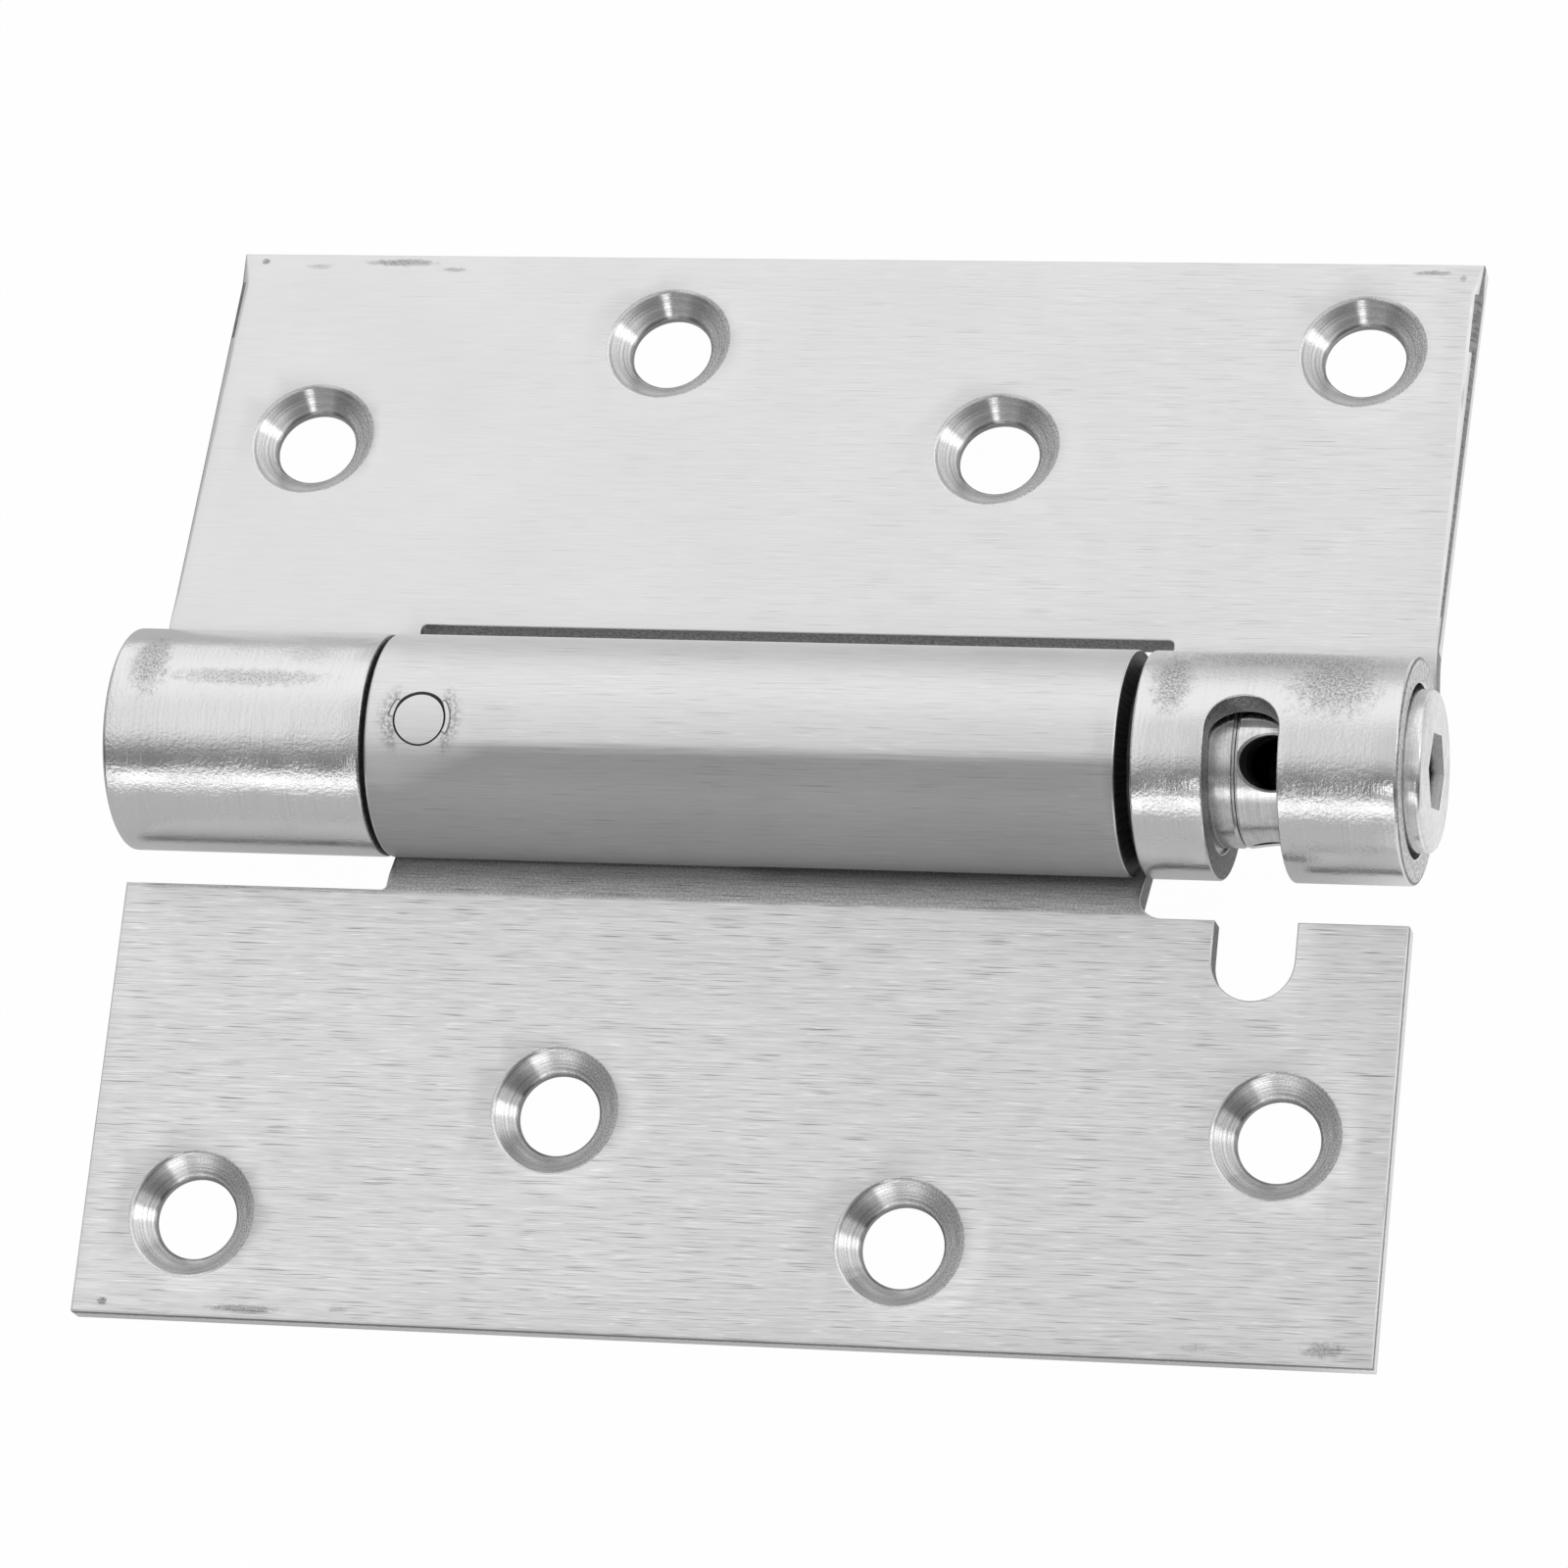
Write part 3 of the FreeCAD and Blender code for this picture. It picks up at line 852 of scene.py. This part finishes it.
def brushed_knuckle(name, marks):
    """Knuckle brushed round the barrel, with patches that the brush left dull."""
    made, n = material(name)
    place = blank_millimetres(n)
    shade, height = scratches(n, place, True, 0.55)
    specks = speckle(n, place, 5.0)
    dull = smudges(n, place, marks)
    shade = n.changed(shade, dull, n.remap(specks, 0, 1, -0.58, -0.06))
    waves = n.noise(place, stretch=(0.9, 2.2, 0))
    peel = n.noise(place, detail=3.0, roughness=0.65, stretch=(3.0, 3.8, 0))
    streaks = n.noise(place, stretch=(4.5, 0.45, 0))
    uneven = n.remap(n.noise(place, scale=0.22), 0.35, 0.65, 6.0, 15.0)
    rough = n.muladd(dull, 0.24, n.remap(specks, 0, 1, 0.17, 0.13))
    height = n.muladd(waves, 2.0, height)
    height = n.muladd(peel, uneven, height)
    height = n.muladd(streaks, 4.0, height)
    return finished(made, n, sheet_shader(n, STEEL, shade, rough, height, 0.5, 0.45, 0.0))


def press_tears(n, place):
    """Ragged noise of an edge that a press has cut."""
    return n.noise(place, scale=1.6, detail=4.0, roughness=0.7, stretch=(2.4, 1.0, 0))


def sheared_face(name, colour, roughness):
    """Edge left as the press cut it, torn and grainy."""
    made, n = material(name)
    place = blank_millimetres(n)
    tears = press_tears(n, place)
    specks = speckle(n, place, 3.2)
    shade = n.product(n.remap(tears, 0.3, 0.7, 0.65, 1.25), n.remap(specks, 0, 1, 0.72, 1.15))
    shader = sheet_shader(n, colour, shade, roughness, n.math("ADD", tears, specks), 0.8)
    return finished(made, n, shader)


def trimmed_side(name):
    """Side of a leaf: a dark shear line under the face, burnished bright below it."""
    made, n = material(name)
    place = blank_millimetres(n)
    tears = press_tears(n, place)
    drop = n.muladd(tears, 0.5, n.parts(place)["Y"])
    line = n.rise(drop, 1.35, 1.0)
    shade = n.muladd(line, -0.72, n.remap(tears, 0.3, 0.7, 0.92, 1.06))
    return finished(made, n, sheet_shader(n, (0.88, 0.88, 0.885), shade, 0.4, tears, 0.4))


def countersink_face(name):
    """Countersink with its cutter's rings, grainy where the cutter chattered, dark at its foot."""
    made, n = material(name)
    place = blank_millimetres(n)
    run, drop = n.parts(place)["X"], n.parts(place)["Y"]
    rings = n.noise(place, detail=3.0, roughness=0.7, stretch=(0.06, 3.6, 0))
    chatter = n.noise(place, stretch=(1.1, 0.5, 0))
    specks = speckle(n, place, 5.5)
    ragged = n.noise(place, scale=0.5)
    torn = n.rise(n.muladd(ragged, 6.0, n.away_from(run, 16.5)), 11.5, 17.0)
    shade = n.product(n.remap(rings, 0.3, 0.7, 0.56, 1.3), n.remap(specks, 0, 1, 0.86, 1.07))
    shade = n.changed(shade, torn, n.remap(specks, 0, 1, -0.34, 0.08))
    foot = n.rise(n.muladd(ragged, 0.5, drop), 2.62, 2.80)
    shade = n.product(shade, n.remap(foot, 0, 1, 1.0, 0.55))
    height = n.muladd(rings, 3.2, n.product(chatter, 1.2))
    height = n.muladd(n.product(torn, specks), 1.0, height)
    rough = n.muladd(torn, 0.25, n.remap(rings, 0.3, 0.7, 0.22, 0.12))
    shader = sheet_shader(n, (0.80, 0.80, 0.805), shade, rough, height, 0.6, 0.6, 0.25)
    shader.inputs["Metallic"].default_value = 0.84
    return finished(made, n, shader)


def collar_hollow_shading(n, place, blotches, shade, rough):
    """Painted shade in the bar holes, painted highlights on their chamfers, and in the socket
    painted light by the face, painted shade deeper in.
    """
    along = n.parts(place)["X"]
    away = n.length(n.vector_math("MULTIPLY", place, (0, 1, 1)))
    drilled = n.rise(along, BAR_HOLES_END, BAR_HOLES_END - 0.5)
    wall, face = COLLAR_RADIUS - 0.19, HALF + COLLAR_PROUD
    painted_bore_shade = n.product(n.rise(away, wall, wall - 0.12), drilled)
    inside = n.rise(along, face - 0.05, face - 0.10)
    socket = n.product(n.rise(away, SOCKET_RADIUS, SOCKET_RADIUS - 0.15), inside)
    depth = n.rise(n.muladd(blotches, 0.4, along), face - 0.5, face - 1.0)
    # Painted shade on the walls of the drilled bar holes.
    shade = n.changed(shade, painted_bore_shade, -0.96)
    rim = n.rise(away, COLLAR_RADIUS - 0.03, COLLAR_RADIUS - 0.07)
    painted_chamfer_highlight = n.product(rim, n.rise(away, wall - 0.10, wall), drilled)
    # Painted highlight on the chamfers round the bar holes.
    shade = n.muladd(painted_chamfer_highlight, 0.3, shade)
    rough = n.muladd(painted_chamfer_highlight, 0.15, rough)
    # Socket: painted light on its walls near the face, painted shade deeper in.
    shade = n.changed(shade, socket, n.remap(depth, 0, 1, 0.25, -0.95))
    rough = n.muladd(painted_bore_shade, 0.4, n.muladd(socket, 0.35, rough))
    return shade, rough


def turned_face(name, colour, roughness, painted_hollow_shade=False):
    """Turned piece with fine grooves round the axis and a speckled skin."""
    made, n = material(name)
    place = axis_millimetres(n)
    grooves = n.noise(place, detail=3.0, roughness=0.7, stretch=(5.5, 0.12, 0.12))
    blotches = n.noise(place, scale=1.3, detail=4.0, roughness=0.7)
    specks = speckle(n, place, 4.0)
    shade = n.product(
        n.remap(grooves, 0.3, 0.7, 0.84, 1.12), n.remap(blotches, 0.35, 0.65, 0.93, 1.05),
        n.remap(specks, 0, 1, 0.94, 1.03),
    )
    rough = n.remap(blotches, 0.35, 0.65, roughness + 0.08, roughness - 0.03)
    # The collar's hollows get painted shade and painted highlights.
    if painted_hollow_shade:
        shade, rough = collar_hollow_shading(n, place, blotches, shade, rough)
    height = n.muladd(specks, 0.5, grooves)
    facing = n.math("ABSOLUTE", n.parts(n.new("ShaderNodeNewGeometry").outputs["Normal"])["X"])
    on_end = n.math("GREATER_THAN", facing, 0.7)
    outward = n.vector_math("NORMALIZE", n.vector_math("MULTIPLY", place, (0, 1, 1)))
    tangent = n.new("ShaderNodeMix", {0: on_end, 4: (1, 0, 0), 5: outward}, data_type="VECTOR")
    shader = metal_shader(
        n, colour, shade, rough, height, 0.5, Anisotropic=0.5, Tangent=tangent.outputs[1],
    )
    return finished(made, n, shader)


def brushed_pin(name):
    """Pin dressed flush with the knuckle, so brushed with it."""
    made, n = material(name)
    place = axis_millimetres(n)
    shade, height = scratches(n, place, False, 1.0)
    return finished(made, n, metal_shader(n, STEEL, shade, 0.36, height, 0.3))


# Marks on the blanks: middle along and across, half length, half width, strength
JAMB_MARKS = [
    (-55.0, 0.8, 0.5, 0.4, 1.1), (-42.0, 0.8, 4.2, 0.5, 0.8), (-37.0, 1.5, 1.6, 0.3, 0.6),
    (-49.8, 1.3, 1.6, 0.4, 0.4), (52.8, 0.9, 2.2, 0.35, 0.8), (55.4, 1.4, 0.35, 0.5, 0.6),
]
DOOR_MARKS = [
    (-54.4, 1.0, 0.6, 0.5, 1.1), (-41.5, 0.85, 4.2, 0.45, 0.8), (-33.0, 1.1, 1.0, 0.3, 0.5),
    (53.0, 1.3, 2.3, 0.9, 0.8), (42.0, 1.0, 1.6, 0.5, 0.45),
]
KNUCKLE_MARKS = [
    (37.2, blank_at_angle(72), 2.3, 3.6, 1.0), (51.2, blank_at_angle(72), 5.2, 3.4, 1.0),
    (46.0, blank_at_angle(46), 12.0, 2.2, 0.9), (-53.8, blank_at_angle(74), 2.3, 3.4, 0.95),
    (-44.5, blank_at_angle(83), 9.5, 0.9, 0.75), (-39.5, blank_at_angle(66), 3.0, 1.2, 0.3),
]
jamb_brushed = brushed_leaf("brushed_jamb_leaf", JAMB_MARKS, 0.9, False)
door_brushed = brushed_leaf("brushed_door_leaf", DOOR_MARKS, 4.0, True)
knuckle = brushed_knuckle("brushed_end_knuckle", KNUCKLE_MARKS)
sheared = sheared_face("sheared_edge", (0.34, 0.34, 0.345), 0.5)
end_face = sheared_face("sheared_knuckle_end", (0.78, 0.78, 0.785), 0.55)
# Near-black sheared face: painted shade for the gap at the middle knuckle's right end and inside
# the cross pin's holes.
painted_shade_end = sheared_face("painted_shade_knuckle_end", (0.07, 0.07, 0.07), 0.45)
leaf_side = trimmed_side("trimmed_leaf_side")
countersunk = countersink_face("cut_countersink")
turned = turned_face("turned_steel_face", (0.70, 0.70, 0.705), 0.22)
turned_collar = turned_face("turned_collar_face", (0.82, 0.82, 0.825), 0.2, painted_hollow_shade=True)
brass = turned_face("turned_brass_face", (0.72, 0.56, 0.30), 0.3)
dark_spring = turned_face("oiled_spring_face", (0.26, 0.26, 0.27), 0.35)


# Which finish a face of a leaf has

BRUSHED, KNUCKLE, SHEARED, COUNTERSUNK, END, PAINTED_SHADE_END, SIDE = range(7)


def is_trimmed(x, s):
    """Whether a wall is the blank's outside, on the flat of the leaf."""
    return s < FLAT_END and (abs(x) > HALF - 0.01 or s < 0.01)


def jamb_finish(part, x, s, depth):
    if part == HOLE:
        return COUNTERSUNK
    if part == WALL and 0.15 < depth < SHEET - 0.15:
        if is_trimmed(x, s):
            return SIDE
        return END if x > HALF - 0.01 and s > CURL_BEGIN else SHEARED
    return KNUCKLE if s > CURL_BEGIN - 1 else BRUSHED


def door_finish(part, x, s, depth):
    if part == HOLE:
        return COUNTERSUNK
    # Painted shade: the middle knuckle's right end and the walls of the cross pin's holes take the
    # near-black face.
    if part == WALL and -0.8 < x - DOOR_KNUCKLE[1] < 0.1 and s > CURL_BEGIN:
        return PAINTED_SHADE_END
    if part == WALL and abs(x - CROSS_PIN_X) < 3 and CURL_BEGIN + 1 < s < BLANK_LENGTH - 1:
        return PAINTED_SHADE_END
    if part == WALL and 0.2 < depth < SHEET - 0.2:
        return SIDE if is_trimmed(x, s) else SHEARED
    return BRUSHED


def make_leaf(name, node, body, place, outline, edges, holes, cuts, finish, brushed):
    """Leaf from the boundaries of its blank, in place of the CAD's."""
    leaf = Leaf(place)
    numbers = [leaf.add_boundary(edge_rings(outline, edges), WALL)]
    numbers += [leaf.add_boundary(rings, HOLE) for rings in holes]
    numbers += [leaf.add_boundary(edge_rings(loop, cut_edges), WALL) for loop in cuts]
    leaf.add_skin([rings[0] for rings in numbers], FACE, 0.0)
    leaf.add_skin([rings[-1] for rings in numbers], BACK, SHEET)
    finishes = [brushed, knuckle, sheared, countersunk, end_face, painted_shade_end, leaf_side]
    piece = leaf.build(name, finish, finishes)
    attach(piece, body)
    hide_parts(node)


make_leaf(
    "jamb_leaf_sheet", "jamb_leaf", "jamb", place_jamb, jamb_outline(), jamb_edges,
    screw_holes(1), [slot_loop()], jamb_finish, jamb_brushed,
)
own_pin_angle = 180 - CROSS_PIN_ANGLE
make_leaf(
    "door_leaf_sheet", "door_leaf", "door", place_door, door_outline(), door_edges,
    screw_holes(-1), [pin_loop(own_pin_angle), pin_loop(own_pin_angle + 180)], door_finish,
    door_brushed,
)


# Finishes of the other pieces

def dress(node, finish):
    """Gives a CAD piece its finish."""
    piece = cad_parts[node]
    piece.data.materials.clear()
    piece.data.materials.append(finish)


# Torsion spring

def wire_path(n, sizes):
    """Points of the wire from its middle outwards: coil, bend and leg, the same at both ends."""
    radius, bend_radius = sizes["Coil Radius"], sizes["Bend Radius"]
    swing = n.math("DIVIDE", bend_radius, n.math("SUBTRACT", radius, bend_radius))
    swing = n.math("ARCSINE", swing)
    coil_run = n.product(sizes["Turns"], radius, math.pi)
    bend_run = n.product(n.math("ADD", swing, math.pi / 2), bend_radius)
    index = n.new("GeometryNodeInputIndex").outputs[0]
    share = n.math("DIVIDE", index, n.math("SUBTRACT", sizes["Points"], 1.0))
    whole = n.math("ADD", n.math("ADD", coil_run, bend_run), sizes["Leg Length"])
    signed = n.product(n.muladd(share, 2.0, -1.0), whole)
    side = n.math("SIGN", signed)
    run = n.math("ABSOLUTE", signed)
    on_coil = n.math("MINIMUM", run, coil_run)
    past_coil = n.math("MAXIMUM", n.math("SUBTRACT", run, coil_run), 0.0)
    on_bend = n.math("MINIMUM", past_coil, bend_run)
    on_leg = n.math("MAXIMUM", n.math("SUBTRACT", past_coil, bend_run), 0.0)
    turn = n.math("DIVIDE", on_coil, radius)
    bent = n.math("SUBTRACT", n.math("DIVIDE", on_bend, bend_radius), swing)
    across = n.math("SUBTRACT", n.math("COSINE", bent), n.math("COSINE", swing))
    across = n.muladd(across, bend_radius, n.product(n.math("COSINE", turn), radius))
    across = n.math("SUBTRACT", across, on_leg)
    upward = n.math("ADD", n.math("SINE", bent), n.math("SINE", swing))
    upward = n.muladd(upward, bend_radius, n.product(n.math("SINE", turn), radius))
    along = n.product(n.math("DIVIDE", on_coil, coil_run), sizes["Coil Length"], 0.5)
    values = {0: across, 1: n.product(upward, side), 2: n.product(along, side)}
    return n.new("ShaderNodeCombineXYZ", values).outputs[0]


def spring_tree(finish):
    """Square wire swept along its path, then turned so that the coil lies on the pin axis."""
    tree = bpy.data.node_groups.new("torsion_spring", "GeometryNodeTree")
    names = (
        "Coil Radius", "Coil Length", "Turns", "Bend Radius", "Leg Length", "Wire Width",
        "Wire Corner",
    )
    for name in names:
        tree.interface.new_socket(name, in_out="INPUT", socket_type="NodeSocketFloat")
    tree.interface.new_socket("Centre", in_out="INPUT", socket_type="NodeSocketVector")
    tree.interface.new_socket("Points", in_out="INPUT", socket_type="NodeSocketInt")
    tree.interface.new_socket("Geometry", in_out="OUTPUT", socket_type="NodeSocketGeometry")
    n = Nodes(tree)
    sizes = n.new("NodeGroupInput").outputs
    line = n.new("GeometryNodeMeshLine", {"Count": sizes["Points"]})
    path = n.new("GeometryNodeMeshToCurve", {"Mesh": line.outputs[0]})
    path = n.new("GeometryNodeSetPosition", {
        "Geometry": path.outputs[0], "Position": wire_path(n, sizes),
    })
    path = n.new("GeometryNodeSetCurveNormal", {"Curve": path.outputs[0]}, mode="Z_UP")
    square = n.new("GeometryNodeCurvePrimitiveQuadrilateral", {
        "Width": sizes["Wire Width"], "Height": sizes["Wire Width"],
    })
    rounded = n.new("GeometryNodeFilletCurve", {
        "Curve": square.outputs[0], "Radius": sizes["Wire Corner"], "Count": 2,
    }, mode="POLY")
    wire = n.new("GeometryNodeCurveToMesh", {
        "Curve": path.outputs[0], "Profile Curve": rounded.outputs[0], "Fill Caps": True,
    })
    placed = n.new("GeometryNodeTransform", {
        "Geometry": wire.outputs[0], "Translation": sizes["Centre"],
        "Rotation": (math.pi / 2, 0, math.pi / 2),
    })
    real = n.new("GeometryNodeRealizeInstances", {"Geometry": placed.outputs[0]})
    dressed = n.new("GeometryNodeSetMaterial", {"Geometry": real.outputs[0], "Material": finish})
    n.new("NodeGroupOutput", {"Geometry": dressed.outputs[0]})
    return tree


def make_spring(finish):
    """Spring between the plugs' shoulders, twisted between the door's plug and the collar."""
    low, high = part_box("torsion_spring")
    length = (high[0] - low[0]) / MM - WIRE
    swing = math.asin(LEG_BEND / (COIL_RADIUS - LEG_BEND))
    leg = (COIL_RADIUS - LEG_BEND) * math.cos(swing) + LEG_PAST_AXIS
    values = {
        "Coil Radius": COIL_RADIUS * MM, "Coil Length": length * MM,
        "Turns": round(length / COIL_PITCH) - swing / math.pi, "Bend Radius": LEG_BEND * MM,
        "Leg Length": leg * MM, "Wire Width": WIRE * MM, "Wire Corner": WIRE_CORNER * MM,
        "Centre": ((low[0] + high[0]) / 2, AXIS_Y * MM, AXIS_Z * MM), "Points": WIRE_POINTS,
    }
    tree = spring_tree(finish)
    start = bpy.data.objects.new("wire", bpy.data.meshes.new("wire"))
    bpy.context.scene.collection.objects.link(start)
    modifier = start.modifiers.new("torsion_spring", "NODES")
    modifier.node_group = tree
    for socket in tree.interface.items_tree:
        if socket.in_out == "INPUT":
            modifier[socket.identifier] = values[socket.name]
    evaluated = start.evaluated_get(bpy.context.evaluated_depsgraph_get())
    mesh = bpy.data.meshes.new_from_object(evaluated)
    bpy.data.objects.remove(start)
    mesh.name = "torsion_spring_wire"
    for polygon in mesh.polygons:
        polygon.use_smooth = True
    mesh.set_sharp_from_angle(angle=math.radians(50))
    spring = bpy.data.objects.new("torsion_spring_wire", mesh)
    bpy.context.scene.collection.objects.link(spring)
    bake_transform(spring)
    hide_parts("torsion_spring")


make_spring(dark_spring)

for node in ("pivot_plug", "end_plug", "bearing_sleeve"):
    dress(node, turned)
dress("cross_pin", brushed_pin("brushed_pin_face"))
dress("tension_collar", turned_collar)
dress("left_bush", brass)


# Studio

def studio_world():
    """Soft light from above, a dark strip in front of it, a bright strip below that, and lamps.

    Each direction has an angle round the barrel, in degrees from the back (0) over the top
    (90) to the front (180), and x, which is its share towards the right.
    """
    world = bpy.data.worlds.new("studio")
    bpy.context.scene.world = world
    world.use_nodes = True
    world.node_tree.nodes.clear()
    n = Nodes(world.node_tree)
    direction = n.new("ShaderNodeTexCoord").outputs["Generated"]
    x, y, z = (n.parts(direction)[axis] for axis in "XYZ")
    angle = n.product(n.math("ARCTAN2", z, y), 180 / math.pi)
    bend = n.product(n.remap(x, -0.335, -0.18, 0.0, 5.7), n.rise(x, 0.1, -0.1))
    angle = n.math("ADD", angle, bend)
    later = n.muladd(n.rise(x, -0.30, -0.20), -1.0, angle)
    dark = n.product(n.rise(angle, 107, 137), n.rise(later, 157, 148))
    front = n.rise(angle, 160, 176)
    near = n.rise(angle, 62, 86)
    right = n.muladd(n.rise(x, -0.36, -0.14), -0.24, 0.93)
    right = n.muladd(near, n.math("SUBTRACT", right, 1.0), 1.0)
    level = n.muladd(dark, -0.80, 1.08)
    level = n.product(level, n.muladd(n.rise(x, -0.5, -0.64), -0.5, 1.0))
    level = n.product(level, n.muladd(front, -0.55, 1.0), right)
    side = n.remap(x, -0.3, 0.5, 0.42, 0.16)
    far = n.product(n.remap(x, -0.345, -0.23, 1.0, 0.62), n.rise(angle, 90, 60))
    side = n.math("MAXIMUM", side, far)
    high = n.rise(z, 0.15, 0.58)
    horizon = n.math("ADD", high, n.product(n.math("SUBTRACT", 1.0, high), side))
    ahead = n.product(n.rise(angle, 150, 165), n.rise(n.math("ABSOLUTE", x), 0.75, 0.55))
    strip = n.product(
        n.rise(later, 149, 156), n.rise(angle, 174, 164),
        n.rise(x, 0.46, 0.30), n.rise(x, -0.75, -0.55),
    )
    lamps = n.product(strip, 1.55)
    for way, outer, inner, strength in LAMPS:
        way = Vector(way).normalized()
        facing = n.new("ShaderNodeVectorMath", {0: direction, 1: way}, operation="DOT_PRODUCT")
        begin, full = (math.cos(math.radians(degrees)) for degrees in (outer, inner))
        lamp = n.rise(facing.outputs["Value"], begin, full)
        lamps = n.math("MAXIMUM", lamps, n.product(lamp, strength))
    level = n.math("MAXIMUM", n.product(level, horizon), n.product(ahead, 0.54))
    level = n.math("MAXIMUM", level, lamps)
    colour = n.new("ShaderNodeCombineXYZ", {0: level, 1: level, 2: level}).outputs[0]
    paths = n.new("ShaderNodeLightPath")
    light = n.new("ShaderNodeBackground", {"Color": colour, "Strength": 1.0})
    white = n.new("ShaderNodeBackground", {"Color": (1, 1, 1, 1), "Strength": 1.0})
    shown = n.mix(paths.outputs["Is Camera Ray"], light, white)
    n.new("ShaderNodeOutputWorld", {"Surface": shown})


def studio_floor():
    """Pale floor that the camera sees white, and the metal as a pale surface."""
    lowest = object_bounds()[0].z
    mesh = bpy.data.meshes.new("studio_floor")
    corners = [(x * FLOOR_REACH, y * FLOOR_REACH, lowest) for x, y in FLOOR_CORNERS]
    mesh.from_pydata(corners, [], [(0, 1, 2, 3)])
    floor = bpy.data.objects.new("studio_floor", mesh)
    bpy.context.scene.collection.objects.link(floor)
    made, n = material("pale_floor")
    grey = {"Base Color": (0.72, 0.72, 0.72, 1.0), "Roughness": 0.9}
    shader = n.new("ShaderNodeBsdfPrincipled", grey)
    paths = n.new("ShaderNodeLightPath").outputs
    seen = paths["Is Camera Ray"]
    mirrored = n.math("MAXIMUM", paths["Is Glossy Ray"], paths["Is Transmission Ray"])
    place = n.parts(n.new("ShaderNodeTexCoord").outputs["Object"])
    level = n.remap(n.rise(place["X"], *FLOOR_RIGHT), 0, 1, 0.56, 1.0)
    strength = n.math("MAXIMUM", seen, level)
    glow = n.new("ShaderNodeEmission", {"Color": (1, 1, 1, 1), "Strength": strength})
    share = n.muladd(mirrored, 0.75, n.math("MULTIPLY", seen, 0.984))
    n.new("ShaderNodeOutputMaterial", {"Surface": n.mix(share, shader, glow)})
    mesh.materials.append(made)
    floor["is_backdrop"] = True


def studio_camera():
    """Camera at the photograph's angle and distance."""
    data = bpy.data.cameras.new("camera")
    data.sensor_width = FILM_WIDTH
    data.lens = FOCAL_LENGTH
    camera = bpy.data.objects.new("camera", data)
    camera.location = Vector(CAMERA_PLACE) * MM
    camera.rotation_euler = [math.radians(degrees) for degrees in CAMERA_TURN]
    data.clip_start = 0.01
    bpy.context.scene.collection.objects.link(camera)
    bpy.context.scene.camera = camera


studio_world()
studio_floor()
studio_camera()

bpy.context.scene.view_settings.view_transform = "Standard"
